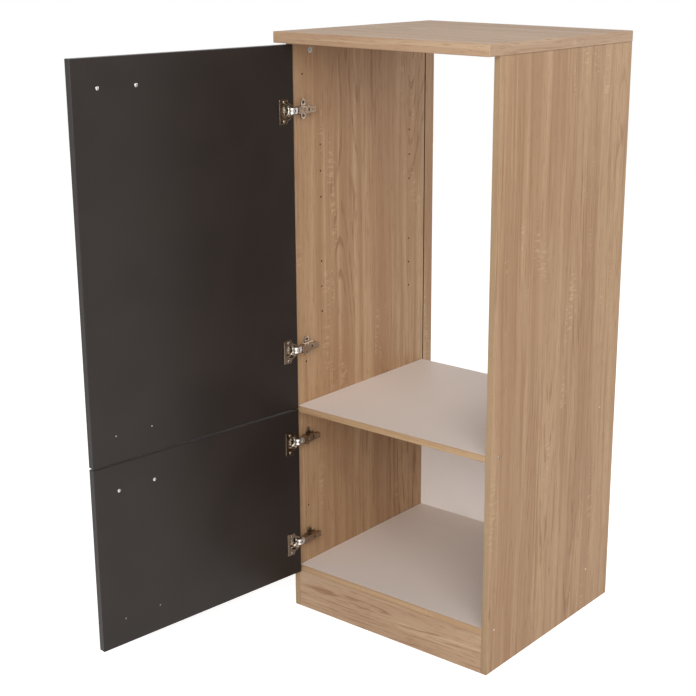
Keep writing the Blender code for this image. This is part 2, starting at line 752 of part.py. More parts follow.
def mounting_plate():
    """Cross plate with a saddle: X off the side, Y into the carcass, Z up."""
    saddle_half = ARM_HALF_HEIGHT - ARM_SHEET - SEAT_GAP
    item = block(
        "saddle", (PLATE_THICKNESS / 2, SADDLE_START, -saddle_half),
        (saddle_top(), SADDLE_END, saddle_half),
    )
    recess = block(
        "recess",
        (saddle_top() - KEYHOLE_DEPTH, KEYHOLE_SETBACK - KEYHOLE_HALF_LENGTH, -KEYHOLE_HALF_HEIGHT),
        (ARM_STANDOFF, KEYHOLE_SETBACK + KEYHOLE_HALF_LENGTH, KEYHOLE_HALF_HEIGHT),
    )
    cut(item, recess)
    taper_tail(item)
    base = prism("base", plate_outline(), SEAT_GAP, PLATE_THICKNESS, "X")
    join(item, base)
    hole_radius = WOOD_SCREW_RADIUS + SEAT_GAP
    holes = [
        rod("hole", (PLATE_SCREW_SETBACK, z), hole_radius, -CUTTER_REACH, CUTTER_REACH, "X")
        for z in (PLATE_SCREW_HALF_SPACING, -PLATE_SCREW_HALF_SPACING)
    ]
    return smooth(cut(item, *holes))


def arm_cheek_outline():
    """Side view of the arm: stand-off against setback, nose towards the door."""
    return [
        (ARM_STANDOFF, ARM_END),
        (ARM_SKIRT_STANDOFF, ARM_END),
        (ARM_SKIRT_STANDOFF, PLATE_START - SEAT_GAP),
        (ARM_THROAT_STANDOFF, ARM_THROAT_END),
        (ARM_THROAT_STANDOFF, ARM_THROAT_START),
        (ARM_NOSE_FOOT, ARM_NOSE_SETBACK),
        (ARM_NOSE_TOP, ARM_NOSE_SETBACK),
        (ARM_STANDOFF, ARM_COVER_START),
    ]


def arm_rivet(standoff, setback):
    """Rivet across the cheeks of the arm with a head on each."""
    seat = ARM_HALF_HEIGHT - ARM_SHEET / 2
    crown = ARM_HALF_HEIGHT + RIVET_HEAD_HEIGHT
    profile = (
        (0, -crown),
        (RIVET_HEAD_RADIUS, -crown),
        (RIVET_HEAD_RADIUS, -seat),
        (PIN_RADIUS, -seat),
        (PIN_RADIUS, seat),
        (RIVET_HEAD_RADIUS, seat),
        (RIVET_HEAD_RADIUS, crown),
        (0, crown),
    )
    rivet = turned("rivet", profile, PIN_SEGMENTS)
    rivet.location = (standoff, setback, 0)
    return rivet


def hinge_arm():
    """Channel-shaped arm with both rivets, the captive adjuster and its slots."""
    outline = arm_cheek_outline()
    item = prism("arm", outline, -ARM_HALF_HEIGHT, ARM_HALF_HEIGHT)
    inner_half = ARM_HALF_HEIGHT - ARM_SHEET
    under_cover = ARM_STANDOFF - ARM_SHEET
    channel = block(
        "channel", (-CUTTER_REACH, -CUTTER_REACH, -inner_half),
        (under_cover, ARM_END + CUTTER_REACH, inner_half),
    )
    mouth = block(
        "mouth", (-CUTTER_REACH, -CUTTER_REACH, -inner_half),
        (ARM_STANDOFF + CUTTER_REACH, ARM_COVER_START, inner_half),
    )
    keyhole = block(
        "keyhole", (0, KEYHOLE_SETBACK - KEYHOLE_HALF_LENGTH, -KEYHOLE_HALF_HEIGHT),
        (ARM_STANDOFF + CUTTER_REACH, KEYHOLE_SETBACK + KEYHOLE_HALF_LENGTH, KEYHOLE_HALF_HEIGHT),
    )
    teeth = []
    for i in range(TOOTH_COUNT):
        start = TOOTH_START + TOOTH_PITCH * i
        teeth.append(
            block(
                "tooth", (ARM_STANDOFF - TOOTH_DEPTH, start, -TOOTH_HALF_HEIGHT),
                (ARM_STANDOFF + CUTTER_REACH, start + TOOTH_WIDTH, TOOTH_HALF_HEIGHT),
            )
        )
    cut(item, channel, mouth, keyhole, *teeth)
    taper_tail(item)
    adjuster = rod(
        "adjuster", (ADJUSTER_SETBACK, 0), ADJUSTER_RADIUS,
        ARM_STANDOFF - ARM_SHEET / 2, ARM_STANDOFF + ADJUSTER_RISE, "X", CAM_SEGMENTS,
    )
    front_rivet = arm_rivet(ARM_PIN_STANDOFF, ARM_PIN_SETBACK)
    rear_rivet = arm_rivet(REAR_PIN_STANDOFF, REAR_PIN_SETBACK)
    join(item, adjuster, front_rivet, rear_rivet)
    slot_floor = ARM_STANDOFF + ADJUSTER_RISE - ADJUSTER_SLOT_DEPTH
    half_width = ADJUSTER_SLOT_WIDTH / 2
    slots = [
        block(
            "slot", (slot_floor, ADJUSTER_SETBACK - a, -b),
            (ARM_STANDOFF + CUTTER_REACH, ADJUSTER_SETBACK + a, b),
        )
        for a, b in ((ADJUSTER_RADIUS / 2, half_width), (half_width, ADJUSTER_RADIUS / 2))
    ]
    return smooth(cut(item, *slots))


def arm_pin():
    """Plan position of the arm's front pin in the carcass."""
    return Vector((BOARD_THICKNESS + ARM_PIN_STANDOFF, ARM_PIN_SETBACK))


def closed_cup_pin():
    """Plan position of the cup's pin with the door shut."""
    return Vector((DOOR_REVEAL + CUP_PIN_FROM_EDGE, -DOOR_FRONT_GAP - CUP_PIN_DEPTH))


def outer_link_length():
    """Distance between the pins of the outer link."""
    return (closed_cup_pin() - arm_pin()).length


def open_cup_pin():
    """Plan position of the cup's pin with the door open as at rest."""
    swing = Matrix.Rotation(math.radians(OUTER_LINK_SWING_DEG), 2)
    return arm_pin() + swing @ (closed_cup_pin() - arm_pin())


def build_carcass(carcass, oak, melamine, white, zinc, steel):
    """Boards of the carcass with the fittings that hold them."""
    inner_low = BOARD_THICKNESS + SEAT_GAP
    inner_high = CARCASS_WIDTH - BOARD_THICKNESS - SEAT_GAP
    adopt(side_panel(1), "left_side_panel", oak, carcass)
    adopt(side_panel(-1), "right_side_panel", oak, carcass)
    top = board(
        (-TOP_SIDE_OVERHANG, -TOP_FRONT_OVERHANG, SIDE_HEIGHT + SEAT_GAP),
        (CARCASS_WIDTH + TOP_SIDE_OVERHANG, CARCASS_DEPTH, SIDE_HEIGHT + TOP_THICKNESS),
        TOP_EDGE_ROUND,
    )
    adopt(top, "top_board", oak, carcass)
    base = board(
        (inner_low, 0, PLINTH_HEIGHT),
        (inner_high, BACK_FRONT_DEPTH - SEAT_GAP, PLINTH_HEIGHT + BOARD_THICKNESS),
        BOARD_EDGE_ROUND,
    )
    adopt(base, "base_panel", melamine, carcass)
    adopt(shelf(), "fridge_shelf", melamine, carcass)
    plinth = board(
        (inner_low, 0, 0),
        (inner_high, BOARD_THICKNESS, PLINTH_HEIGHT - SEAT_GAP),
        BOARD_EDGE_ROUND,
    )
    adopt(plinth, "plinth_board", oak, carcass)
    tongue = GROOVE_DEPTH - SEAT_GAP
    back = block(
        "back",
        (BOARD_THICKNESS - tongue, BACK_FRONT_DEPTH, PLINTH_HEIGHT),
        (CARCASS_WIDTH - BOARD_THICKNESS + tongue, BACK_FRONT_DEPTH + BACK_THICKNESS, BACK_TOP_HEIGHT),
    )
    adopt(back, "back_panel", white, carcass)
    cam = cam_fitting()
    screw = shelf_screw()
    cam_height = SIDE_HEIGHT - CAM_BELOW_TOP
    screw_height = SHELF_TOP_HEIGHT - BOARD_THICKNESS / 2
    quarter = math.pi / 2
    for label, inner, outer, way in (
        ("left", BOARD_THICKNESS, 0, 1),
        ("right", CARCASS_WIDTH - BOARD_THICKNESS, CARCASS_WIDTH, -1),
    ):
        for place, cam_y, screw_y in zip(("front", "back"), CAM_SETBACKS, SHELF_SCREW_SETBACKS):
            turn = (0, way * quarter, 0)
            adopt(copy_of(cam), f"cam_fitting_{label}_{place}", zinc, carcass,
                  (inner, cam_y, cam_height), turn)
            turn = (0, -way * quarter, 0)
            adopt(copy_of(screw), f"shelf_screw_{label}_{place}", steel, carcass,
                  (outer, screw_y, screw_height), turn)
    for pattern in (cam, screw):
        bpy.data.objects.remove(pattern, do_unlink=True)


def build_hinges(carcass, doors, nickel, steel):
    """Four cup hinges: plate, arm and links on the carcass, cup on the door."""
    patterns = {
        "mounting_plate": mounting_plate(),
        "arm": hinge_arm(),
        "outer_link": outer_link(),
        "inner_link": inner_link(),
        "cup": hinge_cup(),
        "plate_screw": wood_screw(
            WOOD_SCREW_HEAD_RADIUS, WOOD_SCREW_HEAD_HEIGHT, WOOD_SCREW_RADIUS,
            WOOD_SCREW_BITE + PLATE_THICKNESS,
        ),
        "cup_screw": wood_screw(
            WOOD_SCREW_HEAD_RADIUS, WOOD_SCREW_HEAD_HEIGHT, WOOD_SCREW_RADIUS,
            WOOD_SCREW_BITE + FLANGE_THICKNESS,
        ),
    }
    pin = arm_pin()
    cup_pin = open_cup_pin()
    outer_turn = math.atan2(cup_pin.y - pin.y, cup_pin.x - pin.x)
    inner_turn = math.radians(INNER_LINK_REST_DEG)
    rear_pin = (BOARD_THICKNESS + REAR_PIN_STANDOFF, REAR_PIN_SETBACK)
    cup_x = CUP_CENTRE_FROM_EDGE - CUP_PIN_FROM_EDGE
    quarter = math.pi / 2
    number = 0
    for door, heights in doors:
        for height in heights:
            number += 1
            stem = f"hinge_{number}"
            face = (BOARD_THICKNESS, 0, height)
            adopt(copy_of(patterns["mounting_plate"]), f"{stem}_mounting_plate", nickel, carcass, face)
            adopt(copy_of(patterns["arm"]), f"{stem}_arm", nickel, carcass, face)
            adopt(copy_of(patterns["outer_link"]), f"{stem}_outer_link", nickel, carcass,
                  (pin.x, pin.y, height), (0, 0, outer_turn))
            adopt(copy_of(patterns["inner_link"]), f"{stem}_inner_link", nickel, carcass,
                  (*rear_pin, height), (0, 0, inner_turn))
            adopt(copy_of(patterns["cup"]), f"{stem}_cup", nickel, door,
                  (cup_x, CUP_PIN_DEPTH, height), (-quarter, 0, 0))
            for label, way in (("upper", 1), ("lower", -1)):
                seat = PLATE_THICKNESS + SEAT_GAP
                place = (BOARD_THICKNESS + seat, PLATE_SCREW_SETBACK,
                         height + way * PLATE_SCREW_HALF_SPACING)
                adopt(copy_of(patterns["plate_screw"]), f"{stem}_plate_screw_{label}", steel,
                      carcass, place, (0, quarter, 0))
                seat = FLANGE_THICKNESS + SEAT_GAP * 2
                place = (cup_x + CUP_SCREW_OFFSET, CUP_PIN_DEPTH + seat,
                         height + way * CUP_SCREW_HALF_SPACING)
                adopt(copy_of(patterns["cup_screw"]), f"{stem}_cup_screw_{label}", steel,
                      door, place, (-quarter, 0, 0))
    for pattern in patterns.values():
        bpy.data.objects.remove(pattern, do_unlink=True)


def build_door(door, label, bottom, top, hinge_heights, lacquer, steel):
    """One door with its bow handle and the two screws that hold it."""
    adopt(door_panel(bottom, top, hinge_heights), f"{label}_door", lacquer, door)
    outer_x = DOOR_WIDTH - CUP_PIN_FROM_EDGE - HANDLE_SETBACK
    height = top - HANDLE_SETBACK
    outer_face = CUP_PIN_DEPTH - DOOR_THICKNESS - SEAT_GAP
    middle = outer_x - HANDLE_PITCH / 2
    adopt(handle(), f"{label}_handle", steel, door, (middle, outer_face, height))
    screw = wood_screw(
        HANDLE_SCREW_HEAD_RADIUS, HANDLE_SCREW_HEAD_HEIGHT, HANDLE_SCREW_RADIUS,
        DOOR_THICKNESS + HANDLE_SCREW_BITE,
    )
    face = CUP_PIN_DEPTH + SEAT_GAP
    for place, x in (("outer", outer_x), ("inner", outer_x - HANDLE_PITCH)):
        adopt(copy_of(screw), f"{label}_handle_screw_{place}", steel, door,
              (x, face, height), (-math.pi / 2, 0, 0))
    bpy.data.objects.remove(screw, do_unlink=True)


def build():
    """Builds the whole unit."""
    clear_scene()
    oak = finish("light_oak_decor", (0.45, 0.31, 0.20), 0.50, 0.0)
    melamine = finish("grey_white_melamine", (0.50, 0.43, 0.36), 0.45, 0.0)
    white = finish("white_back_board", (0.62, 0.56, 0.50), 0.55, 0.0)
    lacquer = finish("anthracite_lacquer", (0.035, 0.031, 0.028), 0.40, 0.0)
    nickel = finish("nickel_plate", (0.68, 0.66, 0.62), 0.28, 1.0)
    steel = finish("zinc_plated_steel", (0.58, 0.57, 0.54), 0.35, 1.0)
    zinc = finish("cast_zinc", (0.48, 0.48, 0.46), 0.45, 1.0)
    carcass = group("carcass", None, (LEFT_X, FRONT_Y, 0))
    build_carcass(carcass, oak, melamine, white, zinc, steel)
    pin = open_cup_pin()
    doors = []
    for label, bottom, top, heights in (
        ("upper", UPPER_DOOR_BOTTOM, UPPER_DOOR_TOP, UPPER_HINGE_HEIGHTS),
        ("lower", LOWER_DOOR_BOTTOM, LOWER_DOOR_TOP, LOWER_HINGE_HEIGHTS),
    ):
        door = group(f"{label}_door_pin", carcass, (pin.x, pin.y, 0), -DOOR_OPEN_DEG)
        build_door(door, label, bottom, top, heights, lacquer, steel)
        doors.append((door, heights))
    build_hinges(carcass, doors, nickel, steel)
    bpy.context.view_layer.update()


build()
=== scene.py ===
"""Looks of a tall fridge housing unit with oak boards, dark doors and cup hinges.

The boards and doors keep their solids and get their finishes here. The hinge pieces and the
round fittings get softened edges. Screws, screw caps and bow handles are made in full detail.
"""

import logging
import math
from dataclasses import dataclass, field, replace
from enum import Enum
from typing import Iterable, Optional, Union

import bmesh
import bpy
from mathutils import Color, Euler, Matrix, Vector

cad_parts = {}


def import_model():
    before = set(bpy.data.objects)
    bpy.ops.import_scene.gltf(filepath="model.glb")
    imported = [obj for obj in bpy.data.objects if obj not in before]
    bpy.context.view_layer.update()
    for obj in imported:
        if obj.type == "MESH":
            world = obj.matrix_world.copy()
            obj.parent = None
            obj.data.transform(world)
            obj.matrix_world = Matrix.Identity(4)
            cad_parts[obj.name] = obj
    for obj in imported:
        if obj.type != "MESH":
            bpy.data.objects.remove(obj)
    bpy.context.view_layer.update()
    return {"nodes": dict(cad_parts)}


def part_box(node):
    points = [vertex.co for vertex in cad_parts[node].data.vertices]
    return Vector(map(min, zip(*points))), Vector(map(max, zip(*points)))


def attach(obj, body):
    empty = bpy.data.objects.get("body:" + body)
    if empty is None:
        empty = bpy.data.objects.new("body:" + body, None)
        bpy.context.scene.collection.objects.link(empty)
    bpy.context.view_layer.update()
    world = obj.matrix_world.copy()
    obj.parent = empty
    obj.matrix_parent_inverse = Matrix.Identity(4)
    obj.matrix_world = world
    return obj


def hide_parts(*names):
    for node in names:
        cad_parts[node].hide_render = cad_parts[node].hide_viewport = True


LOG = logging.getLogger("fridge_housing")
DOOR_OPEN = math.radians(96.5)
CARCASS_FRONT = -0.008
END_BAND = 0.0004
WELD_REACH = 2e-6
SMOOTH_LIMIT = math.radians(35)
FLAT_LIMIT = math.radians(1)
ROUND_CORNERS = 24
GRAIN_ROUGHNESS = 0.58
COLOUR_MIX_INPUTS = (0, 6, 7)
COLOUR_MIX_OUTPUT = 2
WHITE = (1.0, 1.0, 1.0, 1.0)


class Grain(Enum):
    """Direction in which the grain of a board runs."""

    UPRIGHT = "Z"
    ACROSS = "X"


class Way(Enum):
    """Direction in which a screw's head looks."""

    LEFT = (-1.0, 0.0, 0.0)
    RIGHT = (1.0, 0.0, 0.0)
    DOOR_INSIDE = (math.sin(DOOR_OPEN), math.cos(DOOR_OPEN), 0.0)

    def vector(self) -> Vector:
        """Unit vector of this direction."""
        return Vector(self.value)


@dataclass(frozen=True)
class Tone:
    """Colour as it is read off a picture, 0 to 255 in each channel."""

    red: int
    green: int
    blue: int

    def linear(self) -> tuple:
        """Colour in scene values, with an alpha of 1."""
        shares = Color([channel / 255 for channel in (self.red, self.green, self.blue)])
        return (*shares.from_srgb_to_scene_linear(), 1.0)


Value = Union[float, int, bool, str, tuple, Tone, bpy.types.NodeSocket]


class NodeBench:
    """Node tree under construction, shared by finishes and geometry."""

    def __init__(self, tree: bpy.types.NodeTree) -> None:
        """Takes the tree to build in."""
        self.tree = tree

    def add(self, kind: str, settings: Optional[dict] = None, **sockets: Value) -> bpy.types.Node:
        """Adds a node and fills its inputs.

        Args:
            kind: Node type.
            settings: Properties of the node itself.
            sockets: Inputs by name, with _ for a space; a socket is linked.

        Returns:
            The new node.
        """
        node = self.tree.nodes.new(kind)
        for name, value in (settings or {}).items():
            setattr(node, name, value)
        for name, value in sockets.items():
            self.feed(node, name.replace("_", " "), value)
        return node

    def feed(self, node: bpy.types.Node, name: Union[str, int], value: Value) -> None:
        """Sets or links one input of a node.

        Args:
            node: Node whose input is fed.
            name: Input's name or number.
            value: Plain value, tone, or a socket to link from.
        """
        socket = node.inputs[name]
        if isinstance(value, bpy.types.NodeSocket):
            self.tree.links.new(value, socket)
        else:
            socket.default_value = value.linear() if isinstance(value, Tone) else value

    def calc(self, operation: str, first: Value, second: Value = 0.0,
             kind: str = "ShaderNodeMath") -> Value:
        """Output of a math node.

        Args:
            operation: Name of the operation.
            first: First value or socket.
            second: Second value or socket.
            kind: Type of the math node.

        Returns:
            The result's socket.
        """
        node = self.add(kind, {"operation": operation})
        self.feed(node, 0, first)
        self.feed(node, 1, second)
        return node.outputs[0]

    def times(self, first: Value, second: Value) -> Value:
        """Product of two numbers."""
        return self.calc("MULTIPLY", first, second)

    def plus(self, first: Value, second: Value) -> Value:
        """Sum of two numbers."""
        return self.calc("ADD", first, second)

    def vector(self, operation: str, first: Value, second: Value) -> Value:
        """Result of the operation on two vectors."""
        return self.calc(operation, first, second, "ShaderNodeVectorMath")

    def split(self, place: Value) -> bpy.types.bpy_prop_collection:
        """Parts X, Y and Z of a vector."""
        return self.add("ShaderNodeSeparateXYZ", Vector=place).outputs

    def join(self, x: Value = 0.0, y: Value = 0.0, z: Value = 0.0) -> Value:
        """Vector of three parts."""
        return self.add("ShaderNodeCombineXYZ", X=x, Y=y, Z=z).outputs[0]

    def seen(self) -> Value:
        """Tells whether a surface is looked at instead of lighting the unit.

        Returns:
            1 for the camera, for gloss and for glass, and 0 for other rays.
        """
        path = self.add("ShaderNodeLightPath").outputs
        direct = self.calc("MAXIMUM", path["Is Camera Ray"], path["Is Glossy Ray"])
        return self.calc("MAXIMUM", direct, path["Is Transmission Ray"])


class FinishBench(NodeBench):
    """Material under construction."""

    def __init__(self, name: str) -> None:
        """Starts a material of that name with one shader."""
        self.material = bpy.data.materials.new(name)
        self.material.use_nodes = True
        super().__init__(self.material.node_tree)
        self.shader = self.tree.nodes["Principled BSDF"]
        self.place = self.add("ShaderNodeTexCoord").outputs["Object"]

    def spread(self, value: Value, low: float, high: float, first: float = 0.0,
               last: float = 1.0) -> Value:
        """Maps a value from one range to another, kept inside it.

        Args:
            value: Socket to map.
            low: Value that becomes first.
            high: Value that becomes last.
            first: Result at low.
            last: Result at high.

        Returns:
            The result's socket.
        """
        node = self.add("ShaderNodeMapRange", {"interpolation_type": "SMOOTHSTEP"}, Value=value,
                        From_Min=low, From_Max=high, To_Min=first, To_Max=last)
        return node.outputs["Result"]

    def noise(self, place: Value, scale: float, detail: float = 2.0, roughness: float = 0.5,
              output: str = "Fac") -> Value:
        """Noise at a place.

        Args:
            place: Vector socket.
            scale: Grains per metre.
            detail: Number of finer layers.
            roughness: Share of the finer layers.
            output: Fac for one number, Color for three.

        Returns:
            The noise's socket.
        """
        node = self.add("ShaderNodeTexNoise", Vector=place, Scale=scale, Detail=detail,
                        Roughness=roughness)
        return node.outputs[output]

    def mix(self, share: Value, under: Value, over: Value) -> Value:
        """Lays one colour over another.

        Args:
            share: How much of the upper colour shows.
            under: Lower colour.
            over: Upper colour.

        Returns:
            The colour's socket.
        """
        node = self.add("ShaderNodeMix", {"data_type": "RGBA"})
        for place, value in zip(COLOUR_MIX_INPUTS, (share, under, over)):
            self.feed(node, place, value)
        return node.outputs[COLOUR_MIX_OUTPUT]

    def bump(self, height: Value, depth: float, strength: float, edge_turn: float = 0.0) -> None:
        """Gives the shader a bump and, on request, edges that shine as if more rounded.

        Args:
            height: Socket with the relief from 0 to 1.
            depth: Depth of the relief in metres.
            strength: Share of the relief that shows.
            edge_turn: Radius of the rounding in the light, or 0 for none.
        """
        node = self.add("ShaderNodeBump", Strength=strength, Distance=depth, Height=height)
        if edge_turn:
            turned = self.add("ShaderNodeBevel", {"samples": 6}, Radius=edge_turn)
            self.feed(node, "Normal", turned.outputs["Normal"])
        self.feed(self.shader, "Normal", node.outputs["Normal"])

    def finish(self, colour: Value, roughness: Value, metallic: float = 0.0,
               specular: float = 0.5) -> bpy.types.Material:
        """Closes the material.

        Args:
            colour: Colour or its socket.
            roughness: Roughness or its socket.
            metallic: 0 for boards and lacquer, 1 for metal.
            specular: Reflection level of a surface that isn't metal.

        Returns:
            The material.
        """
        self.feed(self.shader, "Base Color", colour)
        self.feed(self.shader, "Roughness", roughness)
        self.feed(self.shader, "Metallic", metallic)
        self.feed(self.shader, "Specular IOR Level", specular)
        return self.material


@dataclass(frozen=True)
class OakTones:
    """Colours of one oak board."""

    light: Tone = Tone(188, 156, 120)
    middle: Tone = Tone(176, 142, 107)
    dark: Tone = Tone(160, 122, 89)
    streak: Tone = Tone(139, 99, 67)
    saw_tick: Tone = Tone(202, 174, 142)


@dataclass(frozen=True)
class GrainLayer:
    """Noise drawn out along the grain, and the range in which it shows."""

    stretch: float
    scale: float
    detail: float
    low: float
    high: float
    first: float = 0.0
    last: float = 1.0

    def noise(self, bench: FinishBench, place: Value) -> Value:
        """Noise of this layer, from 0 to 1."""
        drawn = bench.vector("MULTIPLY", place, (1.0, 1.0, self.stretch))
        return bench.noise(drawn, self.scale, self.detail, GRAIN_ROUGHNESS)

    def share(self, bench: FinishBench, noise: Value) -> Value:
        """Share in which a noise shows."""
        return bench.spread(noise, self.low, self.high, self.first, self.last)

    def draw(self, bench: FinishBench, place: Value) -> Value:
        """Share in which this layer's own noise shows."""
        return self.share(bench, self.noise(bench, place))


BROAD_BANDS = GrainLayer(0.03, 13.0, 2.0, 0.36, 0.64)
DARK_BANDS = GrainLayer(0.02, 48.0, 2.0, 0.48, 0.36, 0.0, 0.7)
LIGHT_BANDS = GrainLayer(0.02, 48.0, 2.0, 0.54, 0.66, 0.0, 0.7)
THIN_LINES = GrainLayer(0.022, 150.0, 3.0, 0.47, 0.34, 0.0, 0.95)
LINE_AREAS = GrainLayer(0.12, 19.0, 1.0, 0.38, 0.62, 0.35, 1.0)
PORES = GrainLayer(0.045, 480.0, 2.0, 0.44, 0.30, 0.0, 0.6)
HEARTS = GrainLayer(0.09, 6.5, 1.0, 0.40, 0.98, 0.0, 0.75)
FLAME_DASHES = GrainLayer(0.10, 130.0, 2.0, 0.40, 0.60)
FLAME_AREAS = GrainLayer(0.16, 7.0, 1.0, 0.52, 0.62)
SAW_MARKS = GrainLayer(4.4, 40.0, 1.0, 0.52, 0.62)
SAW_COLUMNS = GrainLayer(0.14, 34.0, 1.0, 0.51, 0.60)
SAW_PATCHES = GrainLayer(0.30, 11.0, 1.0, 0.56, 0.66, 0.0, 0.34)


@dataclass(frozen=True)
class OakGrain:
    """Sawn oak pattern, shared by the oak boards and the oak edges of white boards."""

    grain: Grain
    shift: tuple = (0.0, 0.0, 0.0)
    tones: OakTones = OakTones()
    ends: tuple = (-10.0, 10.0)
    sway: tuple = (0.030, 0.030, 0.0)
    sway_middle: tuple = (0.5, 0.5, 0.5)
    sway_stretch: tuple = (1.0, 1.0, 0.22)
    sway_scale: float = 7.0
    ring_count: float = 150.0
    middle_share: float = 0.45
    tick_relief: float = 0.4

    def lengthwise(self, bench: FinishBench) -> Value:
        """Turns the object's place so that the grain runs along Z.

        On the two ends of a board with the grain across, the edge band's grain runs along Y.

        Args:
            bench: Material under construction.

        Returns:
            Vector socket.
        """
        parts = bench.split(bench.place)
        axes = [parts[name] for name in "XYZ"]
        if self.grain is Grain.ACROSS:
            along, deep, up = axes
            right = bench.calc("GREATER_THAN", along, self.ends[1] - END_BAND)
            left = bench.calc("LESS_THAN", along, self.ends[0] + END_BAND)
            beyond = bench.calc("MAXIMUM", right, left)
            swap = bench.times(beyond, bench.calc("SUBTRACT", deep, along))
            axes = [up, bench.calc("SUBTRACT", deep, swap), bench.plus(along, swap)]
        return bench.vector("ADD", bench.join(*axes), self.shift)

    def colour(self, bench: FinishBench) -> tuple:
        """Draws the pattern.

        Args:
            bench: Material under construction.

        Returns:
            Colour socket, and relief socket from 0 to 1.
        """
        tones = self.tones
        place = self.lengthwise(bench)
        slow = bench.vector("MULTIPLY", place, self.sway_stretch)
        sway = bench.noise(slow, self.sway_scale, output="Color")
        sway = bench.vector("SUBTRACT", sway, self.sway_middle)
        bent = bench.vector("ADD", place, bench.vector("MULTIPLY", sway, self.sway))
        narrow = DARK_BANDS.noise(bench, bent)
        lines = THIN_LINES.noise(bench, bent)
        line_share = bench.times(THIN_LINES.share(bench, lines), LINE_AREAS.draw(bench, bent))
        rings = bench.times(HEARTS.noise(bench, bent), self.ring_count)
        flames = HEARTS.share(bench, bench.calc("SINE", rings))
        flames = bench.times(flames, FLAME_AREAS.draw(bench, bent))
        flames = bench.times(flames, FLAME_DASHES.draw(bench, bent))
        pores = PORES.noise(bench, bent)
        ticks = bench.times(SAW_COLUMNS.draw(bench, place), SAW_PATCHES.draw(bench, place))
        ticks = bench.times(SAW_MARKS.draw(bench, place), ticks)
        colour = bench.mix(BROAD_BANDS.draw(bench, bent), tones.dark, tones.light)
        for share, tone in (
            (self.middle_share, tones.middle),
            (DARK_BANDS.share(bench, narrow), tones.dark),
            (LIGHT_BANDS.share(bench, narrow), tones.light),
            (line_share, tones.dark),
            (flames, tones.streak),
            (PORES.share(bench, pores), tones.streak),
            (ticks, tones.saw_tick),
        ):
            colour = bench.mix(share, colour, tone)
        relief = bench.times(bench.plus(pores, lines), 0.5)
        return colour, bench.plus(relief, bench.times(ticks, self.tick_relief))


@dataclass(frozen=True)
class RawCore:
    """Raw chipboard that shows inside the holes and grooves of a board; its default tones are darkened
    as painted shade of the holes and groove.
    """

    low: tuple
    high: tuple
    turn: float = 0.0
    rims: tuple = ()
    rim_radius: float = 0.0018
    # Default tones: raw chipboard darkened as painted shade of the holes and groove; the doors give
    # their own pale tones.
    chip: Tone = Tone(96, 70, 48)
    gap: Tone = Tone(62, 44, 30)
    chip_scale: float = 700.0
    chip_range: tuple = (0.4, 0.6)

    @classmethod
    def inside(cls, board: bpy.types.Object, turn: float = 0.0, margin: float = 0.003,
               skin: float = 0.0004) -> "RawCore":
        """Core of one board.

        Args:
            board: Solid of the board.
            turn: Angle about Z in which the board stands, in radians.
            margin: Distance kept from the long edges.
            skin: Distance kept from the two faces.

        Returns:
            The core.
        """
        back = Matrix.Rotation(-turn, 3, "Z")
        points = [back @ point for point in corners(board)]
        low = [min(point[axis] for point in points) for axis in range(3)]
        high = [max(point[axis] for point in points) for axis in range(3)]
        sizes = [top - bottom for bottom, top in zip(low, high)]
        thin = sizes.index(min(sizes))
        insets = [skin if axis == thin else margin for axis in range(3)]
        return cls(
            tuple(value + inset for value, inset in zip(low, insets)),
            tuple(value - inset for value, inset in zip(high, insets)),
            turn,
        )

    def cover(self, bench: FinishBench, colour: Value) -> Value:
        """Shows the core where the surface lies inside the board or at a torn rim.

        Args:
            bench: Material under construction.
            colour: Colour of the board's outside.

        Returns:
            Colour socket.
        """
        straight = bench.add("ShaderNodeVectorRotate", {"rotation_type": "Z_AXIS"},
                             Vector=bench.place, Angle=-self.turn)
        parts = bench.split(straight.outputs[0])
        share = 1.0
        for axis, low, high in zip("XYZ", self.low, self.high):
            above = bench.calc("GREATER_THAN", parts[axis], low)
            below = bench.calc("LESS_THAN", parts[axis], high)
            share = bench.times(share, bench.times(above, below))
        flat = bench.join(x=parts["X"], z=parts["Z"])
        inner = bench.calc("GREATER_THAN", parts["Y"], (self.low[1] + self.high[1]) / 2)
        for x, z in self.rims:
            reach = bench.add("ShaderNodeVectorMath", {"operation": "DISTANCE"})
            bench.feed(reach, 0, flat)
            bench.feed(reach, 1, (x, 0.0, z))
            rim = bench.calc("LESS_THAN", reach.outputs["Value"], self.rim_radius)
            share = bench.calc("MAXIMUM", share, bench.times(rim, inner))
        chips = bench.spread(bench.noise(bench.place, self.chip_scale), *self.chip_range)
        return bench.mix(share, colour, bench.mix(chips, self.gap, self.chip))


@dataclass(frozen=True)
class OakFinish:
    """Oak decor with a front edge band whose darker tone is partly the band's own colour and partly
    painted shade on the front edges.
    """

    name: str
    pattern: OakGrain
    edge_share: float = 0.6
    # Partly the edge band's own tone, partly painted shade that darkens the front edges.
    edge_tone: Tone = Tone(154, 131, 102)
    edge_depths: tuple = (0.0012, 0.0004)
    core: Optional[RawCore] = None
    relief: float = 0.00018
    relief_share: float = 0.35
    rough: tuple = (0.3, 0.8, 0.56, 0.44)
    specular: float = 0.32

    def build(self) -> bpy.types.Material:
        """Makes the material.

        Returns:
            The oak material.
        """
        bench = FinishBench(self.name)
        colour, relief = self.pattern.colour(bench)
        depth = bench.split(bench.place)["Y"]
        # The front edge faces take the darker edge tone: the band's own colour darkened as painted
        # shade.
        ends = [CARCASS_FRONT + reach for reach in self.edge_depths]
        edge = bench.spread(depth, *ends, 0.0, self.edge_share)
        colour = bench.mix(edge, colour, self.edge_tone)
        if self.core is not None:
            colour = self.core.cover(bench, colour)
        bench.bump(relief, self.relief, self.relief_share)
        return bench.finish(colour, bench.spread(relief, *self.rough), specular=self.specular)


